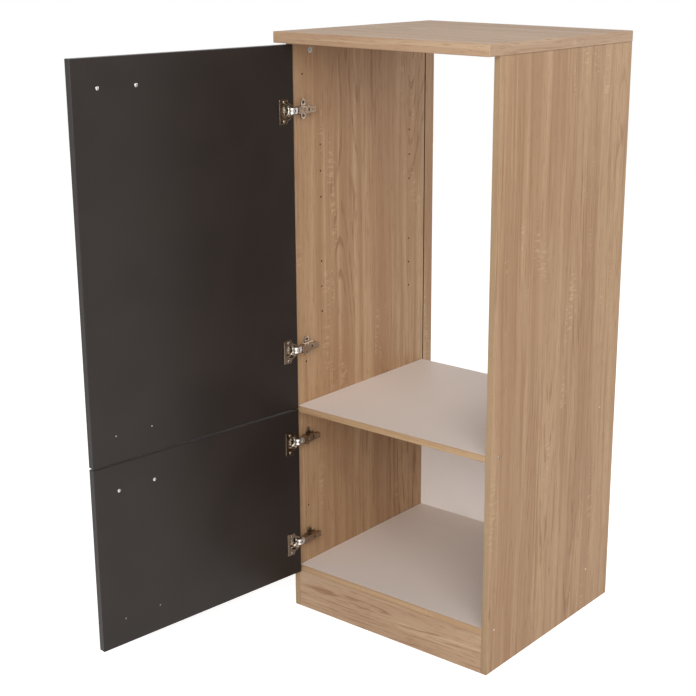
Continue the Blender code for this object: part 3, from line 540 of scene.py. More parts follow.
@dataclass(frozen=True)
class PlainFinish:
    """Surface of two tones, with fine marks and a cloud that change colour and gloss."""

    name: str
    face: Tone
    other: Tone
    rough: tuple
    fine: tuple = (1500.0, 3.0, 0.6)
    fine_share: tuple = (0.35, 0.65, 0.0, 0.25)
    cloud: tuple = (6.0, 2.0)
    cloud_share: tuple = (0.35, 0.7)
    rough_range: tuple = (0.3, 0.7)
    relief: float = 0.00005
    relief_share: float = 0.3
    specular: float = 0.5
    core: Optional[RawCore] = None

    def build(self) -> bpy.types.Material:
        """Makes the material.

        Returns:
            The plain material.
        """
        bench = FinishBench(self.name)
        colour, fine = self.paint(bench, bench.place)[:2]
        if self.core is not None:
            colour = self.core.cover(bench, colour)
        bench.bump(fine, self.relief, self.relief_share)
        rough = bench.spread(fine, *self.rough_range, *self.rough)
        return bench.finish(colour, rough, specular=self.specular)

    def paint(self, bench: FinishBench, along: Value) -> tuple:
        """Mixes the two tones.

        Args:
            bench: Material under construction.
            along: Place that the fine marks read.

        Returns:
            Colour socket, fine marks and cloud.
        """
        fine = bench.noise(along, *self.fine)
        cloud = bench.noise(bench.place, *self.cloud)
        colour = bench.mix(bench.spread(cloud, *self.cloud_share), self.face, self.other)
        colour = bench.mix(bench.spread(fine, *self.fine_share), colour, self.other)
        return colour, fine, cloud


@dataclass(frozen=True)
class MelamineFinish(PlainFinish):
    """Grey-white board with an oak front edge and a thin glue line behind it."""

    name: str = "grey_white_board"
    face: Tone = Tone(225, 212, 203)
    other: Tone = Tone(219, 205, 195)
    rough: tuple = (0.46, 0.56)
    fine: tuple = (900.0, 2.0, 0.6)
    fine_share: tuple = (0.35, 0.65, 0.0, 0.4)
    cloud: tuple = (3.0, 2.0)
    cloud_share: tuple = (0.4, 0.7, 0.0, 0.3)
    relief: float = 0.00008
    relief_share: float = 0.25
    fine_relief: float = 0.4
    specular: float = 0.4
    glue: Tone = Tone(140, 112, 84)
    glue_depths: tuple = (0.0006, 0.0002)
    edge_pattern: OakGrain = OakGrain(Grain.ACROSS, (0.0, 0.4, 1.7))
    edge_tone: Tone = Tone(184, 155, 118)
    edge_share: float = 0.3
    edge_depth: float = 0.0009
    edge_blur: float = 0.0001

    def build(self) -> bpy.types.Material:
        """Makes the material.

        Returns:
            The board's material.
        """
        bench = FinishBench(self.name)
        colour, fine = self.paint(bench, bench.place)[:2]
        oak, relief = self.edge_pattern.colour(bench)
        oak = bench.mix(self.edge_share, oak, self.edge_tone)
        depth = bench.split(bench.place)["Y"]
        end = CARCASS_FRONT + self.edge_depth
        seam = bench.spread(depth, *(end + reach for reach in self.glue_depths))
        colour = bench.mix(seam, colour, self.glue)
        edge = bench.spread(depth, end + self.edge_blur, end - self.edge_blur)
        height = bench.plus(bench.times(fine, self.fine_relief), relief)
        bench.bump(height, self.relief, self.relief_share)
        rough = bench.spread(fine, *self.rough_range, *self.rough)
        return bench.finish(bench.mix(edge, colour, oak), rough, specular=self.specular)


@dataclass(frozen=True)
class MetalFinish(PlainFinish):
    """Plated or cast metal with drawing marks along one axis and small stains, and painted shade that
    darkens its creases and hollows where crevice is set.
    """

    fine: tuple = (2600.0, 3.0, 0.6)
    fine_share: tuple = (0.35, 0.7, 0.0, 0.2)
    cloud: tuple = (160.0, 3.0)
    cloud_share: tuple = (0.45, 0.7, 0.0, 0.3)
    rough_range: tuple = (0.8, 1.3)
    relief: float = 0.00003
    drawn: tuple = (1.0, 0.08, 1.0)
    # Strength of the painted shade in creases and between parts.
    crevice: float = 0.0
    crevice_reach: float = 0.0028
    crevice_range: tuple = (0.85, 0.25)
    # Tone of the painted shade laid into creases, hollows and the gaps between parts.
    crevice_shade_tone: Tone = Tone(34, 25, 18)
    edge_turn: float = 0.0

    def build(self) -> bpy.types.Material:
        """Makes the material.

        Returns:
            The metal.
        """
        bench = FinishBench(self.name)
        along = bench.vector("MULTIPLY", bench.place, self.drawn)
        colour, marks, stains = self.paint(bench, along)
        # Painted shade: ambient occlusion darkens creases and the gaps between parts towards the
        # painted shade tone.
        if self.crevice:
            nook = bench.add("ShaderNodeAmbientOcclusion", {"samples": 8}, Distance=self.crevice_reach)
            share = bench.spread(nook.outputs["AO"], *self.crevice_range, 0.0, self.crevice)
            colour = bench.mix(share, colour, self.crevice_shade_tone)
        bench.bump(marks, self.relief, self.relief_share, self.edge_turn)
        rough = bench.spread(bench.plus(marks, stains), *self.rough_range, *self.rough)
        return bench.finish(colour, rough, 1.0)


Finish = Union[OakFinish, PlainFinish]


@dataclass
class Workshop:
    """Solids of the frame by name, and the finishes made so far."""

    solids: dict
    made: dict = field(default_factory=dict)

    def material(self, finish: Finish) -> bpy.types.Material:
        """Makes a finish the first time it is asked for.

        Args:
            finish: Description of the finish.

        Returns:
            Its material.
        """
        if finish.name not in self.made:
            self.made[finish.name] = finish.build()
            LOG.info("finish %s", finish.name)
        return self.made[finish.name]

    def dress(self, node: str, finish: Finish) -> None:
        """Gives a solid of the frame its finish.

        Args:
            node: Name of the solid.
            finish: Its finish.
        """
        for slot in self.solids[node].material_slots:
            slot.material = self.material(finish)
        LOG.info("solid %s in %s", node, finish.name)


# Lit and shaded copies of the one oak decor: the right side's tones are deeper and the plinth's paler
# because of how these faces are lit, and the top board's paler, whiter tones are a painted sheen.
SHADED_SIDE_OAK = OakTones(Tone(181, 148, 113), Tone(168, 134, 100), Tone(151, 114, 82))
SHEEN_TOP_OAK = OakTones(Tone(187, 159, 130), Tone(177, 147, 118), Tone(162, 129, 101))
LIT_PLINTH_OAK = OakTones(Tone(193, 166, 137), Tone(184, 155, 126), Tone(169, 137, 109))
ANTHRACITE = PlainFinish(
    "anthracite_lacquer_satin", Tone(44, 37, 33), Tone(39, 33, 30), (0.30, 0.38), specular=0.25
)
WHITE_BACK = PlainFinish(
    "white_back_board_face", Tone(250, 243, 239), Tone(246, 238, 232), (0.5, 0.6),
    (700.0, 3.0, 0.6), relief=0.00006, specular=0.4,
)
CAP_PLASTIC = PlainFinish(
    "pale_cap_plastic", Tone(214, 190, 164), Tone(206, 181, 154), (0.4, 0.5), (900.0, 3.0, 0.6),
    relief=0.00002,
)
# One nickel plating in lit and shaded copies per piece: the warm tints of the cup, arm and plate are a
# painted reflection of the oak around them, and the links' near-white copy is a painted highlight.
CUP_NICKEL = MetalFinish(
    "nickel_plate_cup", Tone(160, 149, 135), Tone(113, 103, 91), (0.14, 0.26),
    crevice=0.7, crevice_reach=0.0012, edge_turn=0.0011,
)
ARM_NICKEL = MetalFinish(
    "nickel_plate_arm", Tone(162, 139, 117), Tone(114, 97, 81), (0.12, 0.24),
    crevice=1.0, crevice_reach=0.0030, edge_turn=0.0004,
)
PLATE_NICKEL = MetalFinish(
    "nickel_plate_base", Tone(184, 169, 152), Tone(122, 108, 94), (0.12, 0.24),
    crevice=1.0, crevice_reach=0.0060, edge_turn=0.0009,
)
LINK_HIGHLIGHT_NICKEL = MetalFinish(
    "nickel_plate_link_highlight", Tone(238, 235, 230), Tone(218, 214, 206), (0.30, 0.38), crevice=0.4
)
SCREW_STEEL = MetalFinish("zinc_plated_screw", Tone(205, 203, 198), Tone(160, 156, 150), (0.22, 0.38))
# Darker copies of the screw steel as painted shade: the cup screws are toned down and the plate screws
# made dark, so that they read as screws in shade with dark rings.
SHADED_CUP_SCREW_STEEL = MetalFinish(
    "shaded_cup_screw", Tone(158, 149, 137), Tone(118, 108, 97), (0.22, 0.34),
    crevice=1.0, crevice_reach=0.0012,
)
SHADED_PLATE_SCREW_STEEL = MetalFinish(
    "shaded_plate_screw", Tone(104, 92, 80), Tone(74, 64, 54), (0.18, 0.30),
    crevice=1.0, crevice_reach=0.0014,
)
HANDLE_STEEL = MetalFinish(
    "brushed_handle_steel", Tone(190, 188, 184), Tone(158, 155, 150), (0.26, 0.38),
    drawn=(1.0, 0.05, 1.0),
)
CAST_ZINC = MetalFinish(
    "cast_zinc_grey", Tone(176, 176, 172), Tone(140, 140, 136), (0.34, 0.5),
    drawn=(1.0, 1.0, 1.0), crevice=0.9, crevice_reach=0.002,
)


def new_object(name: str, data: bpy.types.ID) -> bpy.types.Object:
    """Puts a mesh, lamp or camera into the scene.

    Args:
        name: Name of the object.
        data: What it holds.

    Returns:
        The object.
    """
    made = bpy.data.objects.new(name, data)
    bpy.context.scene.collection.objects.link(made)
    return made


def settled(piece: bpy.types.Object) -> bpy.types.Object:
    """Turns what the modifiers make into the piece's own mesh.

    Args:
        piece: Object with live modifiers.

    Returns:
        The same object with a plain mesh.
    """
    bpy.context.view_layer.update()
    graph = bpy.context.evaluated_depsgraph_get()
    mesh = bpy.data.meshes.new_from_object(piece.evaluated_get(graph))
    mesh.name = piece.name
    piece.modifiers.clear()
    piece.data = mesh
    return piece


def shade(piece: bpy.types.Object, material: bpy.types.Material) -> None:
    """Gives a piece one material and smooth round faces.

    Args:
        piece: Object with a plain mesh.
        material: Its finish.
    """
    piece.data.materials.clear()
    piece.data.materials.append(material)
    piece.data.shade_smooth()
    piece.data.set_sharp_from_angle(angle=SMOOTH_LIMIT)


def stand_in(piece: bpy.types.Object, body: str, nodes: Iterable[str]) -> None:
    """Lets a piece ride on its body and stand for its solids.

    Args:
        piece: Finished piece.
        body: Body that carries it.
        nodes: Solids that it replaces.
    """
    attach(piece, body)
    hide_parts(*nodes)
    LOG.info("piece %s", piece.name)


def pointed(name: str, spots: list, axes: list) -> bpy.types.Mesh:
    """Makes a mesh of loose points that carry an axis each.

    Args:
        name: Name of the mesh.
        spots: Places of the points.
        axes: One axis per point.

    Returns:
        The mesh with its "axis" attribute.
    """
    mesh = bpy.data.meshes.new(name)
    mesh.from_pydata(spots, [], [])
    attribute = mesh.attributes.new("axis", "FLOAT_VECTOR", "POINT")
    for value, axis in zip(attribute.data, axes):
        value.vector = axis
    return mesh


def corners(node: bpy.types.Object) -> list:
    """Separate corner points of a solid.

    Args:
        node: Solid of the frame.

    Returns:
        List of vectors.
    """
    step = 1e-6
    seen = {tuple(round(c / step) for c in v.co): v.co.copy() for v in node.data.vertices}
    return list(seen.values())


class GeometryBench(NodeBench):
    """Geometry Nodes tree under construction, with named size inputs."""

    def __init__(self, name: str, sizes: dict) -> None:
        """Starts the tree.

        Args:
            name: Name of the tree.
            sizes: Input names with their sizes in metres.
        """
        tree = bpy.data.node_groups.new(name, "GeometryNodeTree")
        super().__init__(tree)
        face = tree.interface
        face.new_socket("Places", in_out="INPUT", socket_type="NodeSocketGeometry")
        self.sizes = sizes
        self.identifiers = {}
        for label in sizes:
            socket = face.new_socket(label, in_out="INPUT", socket_type="NodeSocketFloat")
            self.identifiers[label] = socket.identifier
        face.new_socket("Geometry", in_out="OUTPUT", socket_type="NodeSocketGeometry")
        self.entry = tree.nodes.new("NodeGroupInput")
        self.leave = tree.nodes.new("NodeGroupOutput")

    def size(self, label: str) -> bpy.types.NodeSocket:
        """Socket of a named size."""
        return self.entry.outputs[label]

    def lowered(self, shape: str, drop: Value, **sizes: Value) -> Value:
        """Makes a round shape and lowers it along Z.

        Args:
            shape: Cone or Cylinder.
            drop: Distance or its socket.
            sizes: Inputs of the shape.

        Returns:
            Geometry socket.
        """
        made = self.add(f"GeometryNodeMesh{shape}", Vertices=ROUND_CORNERS, **sizes)
        offset = self.join(z=self.times(drop, -1.0))
        node = self.add("GeometryNodeTransform", Geometry=made.outputs["Mesh"], Translation=offset)
        return node.outputs["Geometry"]

    def boolean(self, operation: str, first: Optional[Value], others: Iterable[Value]) -> Value:
        """Joins or subtracts closed meshes.

        Args:
            operation: UNION or DIFFERENCE.
            first: Mesh that others are taken from, or None in a union.
            others: Meshes to join or take away.

        Returns:
            Mesh socket.
        """
        node = self.add("GeometryNodeMeshBoolean", {"operation": operation, "solver": "EXACT"})
        if first is not None:
            self.feed(node, 0, first)
        for mesh in others:
            self.tree.links.new(mesh, node.inputs[1])
        weld = self.add("GeometryNodeMergeByDistance", Geometry=node.outputs[0], Distance=WELD_REACH)
        return weld.outputs[0]

    def close(self, geometry: Value, material: bpy.types.Material) -> None:
        """Realizes the instances, sets the material and ends the tree.

        Args:
            geometry: Geometry socket.
            material: Finish of the result.
        """
        real = self.add("GeometryNodeRealizeInstances", Geometry=geometry)
        dressed = self.add("GeometryNodeSetMaterial", Geometry=real.outputs[0])
        dressed.inputs["Material"].default_value = material
        self.feed(self.leave, 0, dressed.outputs[0])

    def close_on_places(self, instance: Value, material: bpy.types.Material) -> None:
        """Sets one copy on each place, turned to its "axis", and ends the tree.

        Args:
            instance: Geometry socket of what is repeated, looking along Z.
            material: Finish of the result.
        """
        axis = self.add("GeometryNodeInputNamedAttribute", {"data_type": "FLOAT_VECTOR"}, Name="axis")
        aim = self.add("FunctionNodeAlignRotationToVector", {"axis": "Z"},
                       Vector=axis.outputs["Attribute"])
        placed = self.add("GeometryNodeInstanceOnPoints", Points=self.entry.outputs["Places"],
                          Instance=instance, Rotation=aim.outputs["Rotation"])
        self.close(placed.outputs["Instances"], material)

    def make(self, name: str, places: bpy.types.Mesh) -> bpy.types.Object:
        """Runs the tree on a mesh of places.

        Args:
            name: Name of the piece.
            places: Mesh whose points carry the places.

        Returns:
            Object with a plain mesh.
        """
        piece = new_object(name, places)
        modifier = piece.modifiers.new("nodes", "NODES")
        modifier.node_group = self.tree
        for label, size in self.sizes.items():
            modifier[self.identifiers[label]] = size
        return settled(piece)


@dataclass(frozen=True)
class ScrewKind:
    """Pan-head screw with a cross recess, made by one Geometry Nodes tree."""

    name: str
    head_radius: float
    head_height: float
    shank_radius: float
    length: float
    rim_share: float = 0.45
    crown_share: float = 0.62
    recess_length: float = 0.62
    recess_width: float = 0.26
    recess_depth: float = 1.2
    tip_share: float = 0.7
    shank_start: float = 0.9

    def bench(self, material: bpy.types.Material) -> GeometryBench:
        """Builds the tree.

        Args:
            material: Finish of the screws.

        Returns:
            The tree, ready to run on places with an "axis" attribute.
        """
        tree = GeometryBench(
            self.name,
            {
                "Head radius": self.head_radius,
                "Rim height": self.head_height * self.rim_share,
                "Crown height": self.head_height * (1 - self.rim_share),
                "Crown radius": self.head_radius * self.crown_share,
                "Shank radius": self.shank_radius,
                "Shank length": self.length - self.head_height,
                "Recess length": self.head_radius * self.recess_length * 2,
                "Recess width": self.head_radius * self.recess_width,
                "Recess depth": self.head_height * self.recess_depth,
            },
        )
        sizes = [tree.size(label) for label in tree.sizes]
        radius, rim, crown, crown_radius, shank_radius, shank_length, *recess = sizes
        sunk = tree.plus(crown, tree.times(rim, self.shank_start))
        solid = tree.boolean("UNION", None, (
            tree.lowered("Cone", crown, Radius_Top=crown_radius, Radius_Bottom=radius, Depth=crown),
            tree.lowered("Cylinder", tree.plus(crown, tree.calc("DIVIDE", rim, 2.0)),
                         Radius=radius, Depth=rim),
            tree.lowered("Cone", tree.plus(shank_length, sunk), Radius_Top=shank_radius,
                         Radius_Bottom=tree.times(shank_radius, self.tip_share),
                         Depth=shank_length),
        ))
        arms = []
        for turn in (0.0, math.pi / 2):
            cube = tree.add("GeometryNodeMeshCube", Size=tree.join(*recess))
            turned = tree.add("GeometryNodeTransform", Geometry=cube.outputs["Mesh"],
                              Rotation=(0.0, 0.0, turn))
            arms.append(turned.outputs["Geometry"])
        tree.close_on_places(tree.boolean("DIFFERENCE", solid, arms), material)
        return tree


@dataclass
class Job:
    """Work on a sub-assembly, which takes its solids and finishes from the workshop."""

    shop: Workshop


@dataclass
class ScrewSet(Job):
    """All screws of one kind on one body."""

    name: str
    body: str
    nodes: dict
    kind: ScrewKind
    finish: MetalFinish

    def places(self) -> bpy.types.Mesh:
        """Reads where the screws' crowns lie and where they look.

        Returns:
            Mesh with one point per screw and its axis.
        """
        spots = []
        axes = []
        for node, way in self.nodes.items():
            points = corners(self.shop.solids[node])
            middle = sum(points, Vector()) / len(points)
            axis = way.vector()
            top = max(point.dot(axis) for point in points)
            spots.append(middle + axis * (top - middle.dot(axis)))
            axes.append(axis)
        return pointed(self.name, spots, axes)

    def build(self) -> None:
        """Makes the screws and lets them ride on their body."""
        material = self.shop.material(self.finish)
        piece = self.kind.bench(material).make(self.name, self.places())
        shade(piece, material)
        stand_in(piece, self.body, self.nodes)


@dataclass
class BowHandle(Job):
    """Bow handle swept along a flat arc by Geometry Nodes."""

    name: str
    node: str
    body: str
    thickness: float = 0.005
    corner_round: float = 0.0016
    corner_steps: int = 4
    resolution: int = 28
    inset: float = 0.00015

    def build(self) -> None:
        """Sweeps the handle and stands it on the door's outer face."""
        material = self.shop.material(HANDLE_STEEL)
        out = -Way.DOOR_INSIDE.vector()
        up = Vector((0, 0, 1))
        along = up.cross(out)
        points = corners(self.shop.solids[self.node])
        spans = []
        for axis in (along, out, up):
            values = [point.dot(axis) for point in points]
            spans.append((min(values), max(values)))
        length, reach, width = [high - low for low, high in spans]
        crown = reach - self.thickness / 2 - self.inset
        tree = GeometryBench(
            self.name,
            {
                "Half pitch": (length - self.thickness) / 2,
                "Bow": crown * 4 / 3,
                "Width": width,
                "Thickness": self.thickness,
                "Corner round": self.corner_round,
            },
        )
        half, bow, across, thick, bend = [tree.size(label) for label in tree.sizes]
        back = tree.times(half, -1.0)
        start, start_handle, end_handle, end = [
            tree.join(x, y) for x, y in ((back, 0.0), (back, bow), (half, bow), (half, 0.0))
        ]
        arc = tree.add("GeometryNodeCurvePrimitiveBezierSegment", Resolution=self.resolution,
                       Start=start, Start_Handle=start_handle, End_Handle=end_handle, End=end)
        level = tree.add("GeometryNodeSetCurveNormal", {"mode": "Z_UP"}, Curve=arc.outputs["Curve"])
        profile = tree.add("GeometryNodeCurvePrimitiveQuadrilateral", Width=thick, Height=across)
        rounded = tree.add("GeometryNodeFilletCurve", {"mode": "POLY"},
                           Curve=profile.outputs["Curve"], Radius=bend, Count=self.corner_steps)
        swept = tree.add("GeometryNodeCurveToMesh", Curve=level.outputs[0],
                         Profile_Curve=rounded.outputs["Curve"], Fill_Caps=True)
        tree.close(swept.outputs["Mesh"], material)
        piece = tree.make(self.name, bpy.data.meshes.new(self.name))
        origin = along * sum(spans[0]) / 2 + out * spans[1][0] + up * sum(spans[2]) / 2
        turn = Matrix((along, out, up)).transposed().to_4x4()
        piece.data.transform(Matrix.Translation(origin) @ turn)
        mesh = bmesh.new()
        mesh.from_mesh(piece.data)
        bmesh.ops.recalc_face_normals(mesh, faces=mesh.faces)
        mesh.to_mesh(piece.data)
        mesh.free()
        shade(piece, material)
        stand_in(piece, self.body, (self.node,))


@dataclass
class SoftenedCopy(Job):
    """Metal piece with the shape of its solid and rounded edges."""

    node: str
    body: str
    slot: str
    finish: MetalFinish
    edge_round: float
    merge_reach: float = 1e-5
    segments: int = 2

    def build(self) -> None:
        """Copies the solid, merges and softens it."""
        mesh = bmesh.new()
        mesh.from_mesh(self.shop.solids[self.node].data)
        bmesh.ops.remove_doubles(mesh, verts=mesh.verts, dist=self.merge_reach)
        bmesh.ops.dissolve_limit(mesh, angle_limit=FLAT_LIMIT, verts=mesh.verts, edges=mesh.edges)
        wide = [face for face in mesh.faces if len(face.verts) > 4]
        bmesh.ops.triangulate(mesh, faces=wide, ngon_method="BEAUTY")
        data = bpy.data.meshes.new(f"{self.node}_dressed")
        mesh.to_mesh(data)
        mesh.free()
        data.materials.clear()
        data.materials.append(self.shop.material(self.finish))
        data.shade_smooth()
        piece = new_object(data.name, data)
        bevel = piece.modifiers.new("edge_round", "BEVEL")
        bevel.width = self.edge_round
        bevel.segments = self.segments
        bevel.limit_method = "ANGLE"
        bevel.angle_limit = SMOOTH_LIMIT
        bevel.miter_outer = "MITER_ARC"
        bevel.use_clamp_overlap = False
        piece.modifiers.new("flat_faces", "WEIGHTED_NORMAL").keep_sharp = True
        stand_in(settled(piece), self.body, (self.node,))


@dataclass
class CupHinge(Job):
    """One concealed hinge: plate, arm, links and cup."""

    number: int
    door: str
    plate_round: float = 0.0003
    arm_round: float = 0.0002
    link_round: float = 0.00012
    cup_round: float = 0.00006
    cup_merge: float = 0.00018

    def build(self) -> None:
        """Dresses the five pressed pieces."""
        stem = f"hinge_{self.number}"
        for piece, body, edge_round, finish in (
            ("mounting_plate", "carcass", self.plate_round, PLATE_NICKEL),
            ("arm", "carcass", self.arm_round, ARM_NICKEL),
            # Each piece takes its own lit or shaded copy of the one nickel plating; the links' copy is
            # a painted highlight.
            ("outer_link", f"{stem}_outer_link", self.link_round, LINK_HIGHLIGHT_NICKEL),
            ("inner_link", f"{stem}_inner_link", self.link_round, LINK_HIGHLIGHT_NICKEL),
            ("cup", self.door, self.cup_round, CUP_NICKEL),
        ):
            copy = SoftenedCopy(self.shop, f"{stem}_{piece}", body, "nickel_plate", finish, edge_round)
            if piece == "cup":
                copy.merge_reach = self.cup_merge
            copy.build()


@dataclass
class Carcass(Job):
    """Boards, round fittings and screws of the carcass."""

    boards: tuple = (
        ("left_side_panel",
         OakFinish("oak_left_side", OakGrain(Grain.UPRIGHT, (0.9, 0.35, 0.2)))),
        ("right_side_panel",
         OakFinish("oak_right_side", OakGrain(Grain.UPRIGHT, (0.1, 1.6, 2.3), SHADED_SIDE_OAK))),
        ("top_board",
         OakFinish("oak_top_board", OakGrain(Grain.ACROSS, (0.0, 0.7, 0.4), SHEEN_TOP_OAK), 0.0)),
        ("plinth_board",
         OakFinish("oak_plinth_board", OakGrain(Grain.ACROSS, (0.3, 0.9, 1.1), LIT_PLINTH_OAK), 0.0)),
        ("base_panel", MelamineFinish()),
        ("fridge_shelf", MelamineFinish()),
        ("back_panel", WHITE_BACK),
    )
    cam_round: float = 0.0004
    hinge_count: int = 4
    plate_screw: ScrewKind = ScrewKind("plate_screw_tree", 0.0036, 0.0019, 0.0016, 0.0148)
    shelf_screw: ScrewKind = ScrewKind("shelf_screw_tree", 0.0027, 0.0020, 0.0017, 0.0445)

    def build(self) -> None:
        """Dresses the boards and round fittings and makes the screws."""
        for node, finish in self.boards:
            if node.endswith("side_panel"):
                finish = replace(finish, core=RawCore.inside(self.shop.solids[node]))
            if node == "top_board":
                low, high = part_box(node)
                finish = replace(finish, pattern=replace(finish.pattern, ends=(low[0], high[0])))
            self.shop.dress(node, finish)
        for side in ("left", "right"):
            for place in ("front", "back"):
                node = f"cam_fitting_{side}_{place}"
                copy = SoftenedCopy(self.shop, node, "carcass", "cast_zinc", CAST_ZINC, self.cam_round)
                copy.build()
        plate_nodes = {
            f"hinge_{number}_plate_screw_{place}": Way.RIGHT
            for number in range(1, self.hinge_count + 1)
            for place in ("upper", "lower")
        }
        shelf_nodes = {
            f"shelf_screw_{side}_{place}": way
            for side, way in (("left", Way.LEFT), ("right", Way.RIGHT))
            for place in ("front", "back")
        }
        for name, nodes, kind, finish in (
            ("plate_screws", plate_nodes, self.plate_screw, SHADED_PLATE_SCREW_STEEL),
            ("shelf_screws", shelf_nodes, self.shelf_screw, SCREW_STEEL),
        ):
            ScrewSet(self.shop, name, "carcass", nodes, kind, finish).build()


@dataclass
class BaseCaps(Job):
    """Pale caps over the screws that hold the base panel, two in each side."""

    name: str = "base_screw_caps"
    radius: float = 0.0030
    stand: float = 0.00015
    depth: float = 0.0012
    rim: float = 0.0001
    from_front: float = 0.0277
    from_rear: float = 0.1108

    def places(self) -> bpy.types.Mesh:
        """Reads where the caps sit from the base and the sides.

        Returns:
            Mesh with one point per cap and its axis.
        """
        base_low, base_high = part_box("base_panel")
        spots = []
        axes = []
        for side, way in (("left", Way.LEFT), ("right", Way.RIGHT)):
            low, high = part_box(f"{side}_side_panel")
            face = low[0] if way is Way.LEFT else high[0]
            for depth in (low[1] + self.from_front, high[1] - self.from_rear):
                spots.append((face, depth, (base_low[2] + base_high[2]) / 2))
                axes.append(way.vector())
        return pointed(self.name, spots, axes)

    def build(self) -> None:
        """Makes the caps with one Geometry Nodes tree."""
        material = self.shop.material(CAP_PLASTIC)
        sizes = {"Radius": self.radius, "Rim": self.rim, "Stand": self.stand, "Depth": self.depth}
        tree = GeometryBench("base_cap_tree", sizes)
        radius, rim, stand, depth = [tree.size(label) for label in tree.sizes]
        cap = tree.boolean("UNION", None, (
            tree.lowered("Cylinder", tree.times(depth, 0.5), Radius=radius, Depth=depth),
            tree.lowered("Cone", stand, Radius_Top=tree.calc("SUBTRACT", radius, rim),
                         Radius_Bottom=radius, Depth=tree.times(stand, 2.0)),
        ))
        tree.close_on_places(cap, material)
        piece = tree.make(self.name, self.places())
        shade(piece, material)
        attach(piece, "carcass")
        LOG.info("piece %s", self.name)


@dataclass
class Door(Job):
    """One door with its handle, screws and hinges."""

    label: str
    hinges: tuple
    chip: Tone = Tone(214, 202, 182)
    gap: Tone = Tone(168, 152, 130)
    handle_screw: tuple = (0.0042, 0.0020, 0.0019, 0.0262)
    cup_screw: tuple = (0.0036, 0.0019, 0.0016, 0.0132)

    def core(self) -> RawCore:
        """Pale core that shows in the two small holes opposite the handle screws.

        Returns:
            The core, with the torn rims of the holes.
        """
        solids = self.shop.solids
        core = RawCore.inside(solids[f"{self.label}_door"], -DOOR_OPEN)
        back = Matrix.Rotation(DOOR_OPEN, 3, "Z")
        rims = []
        for place in ("outer", "inner"):
            points = corners(solids[f"{self.label}_handle_screw_{place}"])
            middle = back @ (sum(points, Vector()) / len(points))
            rims.append((middle.x, core.low[2] + core.high[2] - middle.z))
        return replace(core, rims=tuple(rims), chip=self.chip, gap=self.gap)

    def build(self) -> None:
        """Dresses the door and makes what is fixed to it."""
        label = self.label
        body = f"{label}_door"
        lacquer = replace(ANTHRACITE, name=f"anthracite_lacquer_{label}_door", core=self.core())
        self.shop.dress(body, lacquer)
        BowHandle(self.shop, f"{label}_bow_handle", f"{label}_handle", body).build()
        handle_nodes = [f"{label}_handle_screw_{place}" for place in ("outer", "inner")]
        cup_nodes = [
            f"hinge_{number}_cup_screw_{place}"
            for number in self.hinges
            for place in ("upper", "lower")
        ]
        for part, nodes, sizes, finish in (
            ("handle", handle_nodes, self.handle_screw, SCREW_STEEL),
            ("cup", cup_nodes, self.cup_screw, SHADED_CUP_SCREW_STEEL),
        ):
            kind = ScrewKind(f"{label}_{part}_screw_tree", *sizes)
            looks = dict.fromkeys(nodes, Way.DOOR_INSIDE)
            ScrewSet(self.shop, f"{label}_{part}_screws", body, looks, kind, finish).build()
        for number in self.hinges:
            CupHinge(self.shop, number, body).build()


@dataclass(frozen=True)
class Lamp:
    """Soft square lamp that looks at the unit."""

    name: str
    place: tuple
    size: float
    power: float

    def hang(self, aim: tuple) -> None:
        """Puts the lamp into the scene.

        Args:
            aim: Point that it looks at.
        """
        data = bpy.data.lights.new(self.name, "AREA")
        data.size = self.size
        data.energy = self.power
        lamp = new_object(self.name, data)
        lamp.location = self.place
        sight = Vector(aim) - Vector(self.place)
        lamp.rotation_euler = sight.to_track_quat("-Z", "Y").to_euler()


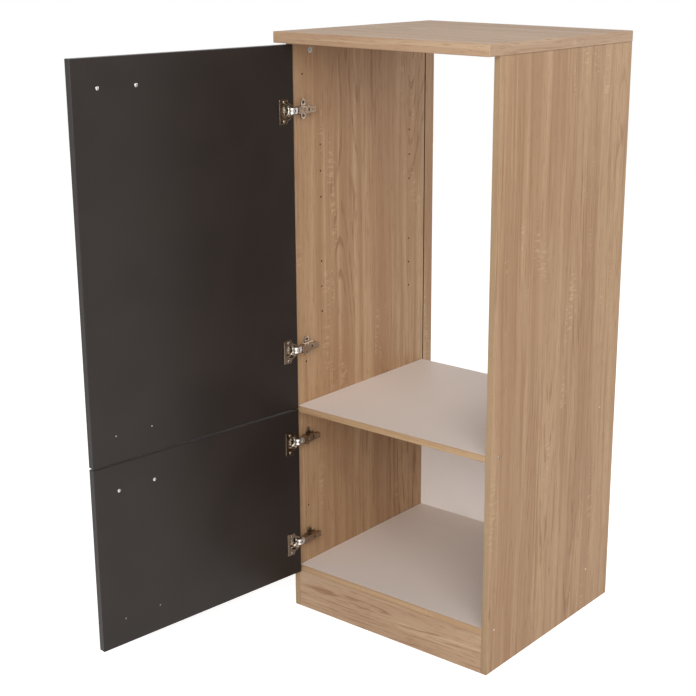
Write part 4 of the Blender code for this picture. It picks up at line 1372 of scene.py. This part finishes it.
@dataclass
class Studio:
    """Pale floor, soft lamps, white surroundings and the camera."""

    floor_size: float = 14.0
    floor_drop: float = 0.0006
    floor_tone: Tone = Tone(236, 236, 236)
    floor_rough: float = 0.9
    floor_glow: float = 0.66
    ambient: float = 0.475
    lamps: tuple = (
        Lamp("key_lamp", (2.9, -2.55, 3.5), 2.6, 83.0),
        Lamp("fill_lamp", (1.5, -3.55, 1.95), 2.0, 66.0),
        Lamp("rear_lamp", (1.8, 3.2, 2.4), 2.0, 35.0),
    )
    aim: tuple = (0.0, 0.1, 0.8)
    camera_place: tuple = (1.9476, -2.4586, 1.6699)
    camera_turn: tuple = (73.892, -0.3285, 37.6831)
    focal_pixels: float = 1402.7
    frame_pixels: float = 696.0
    centre_pixels: tuple = (407.5, 340.3)
    sensor: float = 36.0

    def build(self) -> None:
        """Makes the surroundings."""
        self.floor()
        self.world()
        for lamp in self.lamps:
            lamp.hang(self.aim)
        self.camera()
        bpy.context.scene.view_settings.view_transform = "Standard"

    def floor(self) -> None:
        """Makes the floor, white where it is seen unshaded."""
        half = self.floor_size / 2
        spots = [(x, y, -self.floor_drop)
                 for x, y in ((-half, -half), (half, -half), (half, half), (-half, half))]
        mesh = bpy.data.meshes.new("studio_floor")
        mesh.from_pydata(spots, [], [(0, 1, 2, 3)])
        floor = new_object("studio_floor", mesh)
        bench = FinishBench("studio_floor_white")
        bench.feed(bench.shader, "Emission Color", WHITE)
        glow = bench.times(bench.seen(), self.floor_glow)
        bench.feed(bench.shader, "Emission Strength", glow)
        mesh.materials.append(bench.finish(self.floor_tone, self.floor_rough, specular=0.0))

    def world(self) -> None:
        """Makes soft surroundings that read white to the camera and in metal."""
        world = bpy.data.worlds.new("studio_surroundings")
        world.use_nodes = True
        bpy.context.scene.world = world
        bench = NodeBench(world.node_tree)
        back = world.node_tree.nodes["Background"]
        bench.feed(back, "Color", WHITE)
        seen = bench.seen()
        unseen = bench.calc("SUBTRACT", 1.0, seen)
        bench.feed(back, "Strength", bench.plus(seen, bench.times(unseen, self.ambient)))

    def camera(self) -> None:
        """Places the camera at the angle of the reference view."""
        data = bpy.data.cameras.new("view_camera")
        data.sensor_width = self.sensor
        data.sensor_fit = "HORIZONTAL"
        data.lens = self.focal_pixels / self.frame_pixels * self.sensor
        middle = self.frame_pixels / 2
        data.shift_x = (middle - self.centre_pixels[0]) / self.frame_pixels
        data.shift_y = (self.centre_pixels[1] - middle) / self.frame_pixels
        camera = new_object("view_camera", data)
        camera.location = self.camera_place
        camera.rotation_euler = Euler([math.radians(turn) for turn in self.camera_turn])
        bpy.context.scene.camera = camera


def main() -> None:
    """Builds the looks in order."""
    logging.basicConfig(level=logging.INFO, format="%(message)s")
    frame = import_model()
    shop = Workshop(frame["nodes"])
    Studio().build()
    Carcass(shop).build()
    BaseCaps(shop).build()
    Door(shop, "upper", (1, 2)).build()
    Door(shop, "lower", (3, 4)).build()


if __name__ == "__main__":
    main()
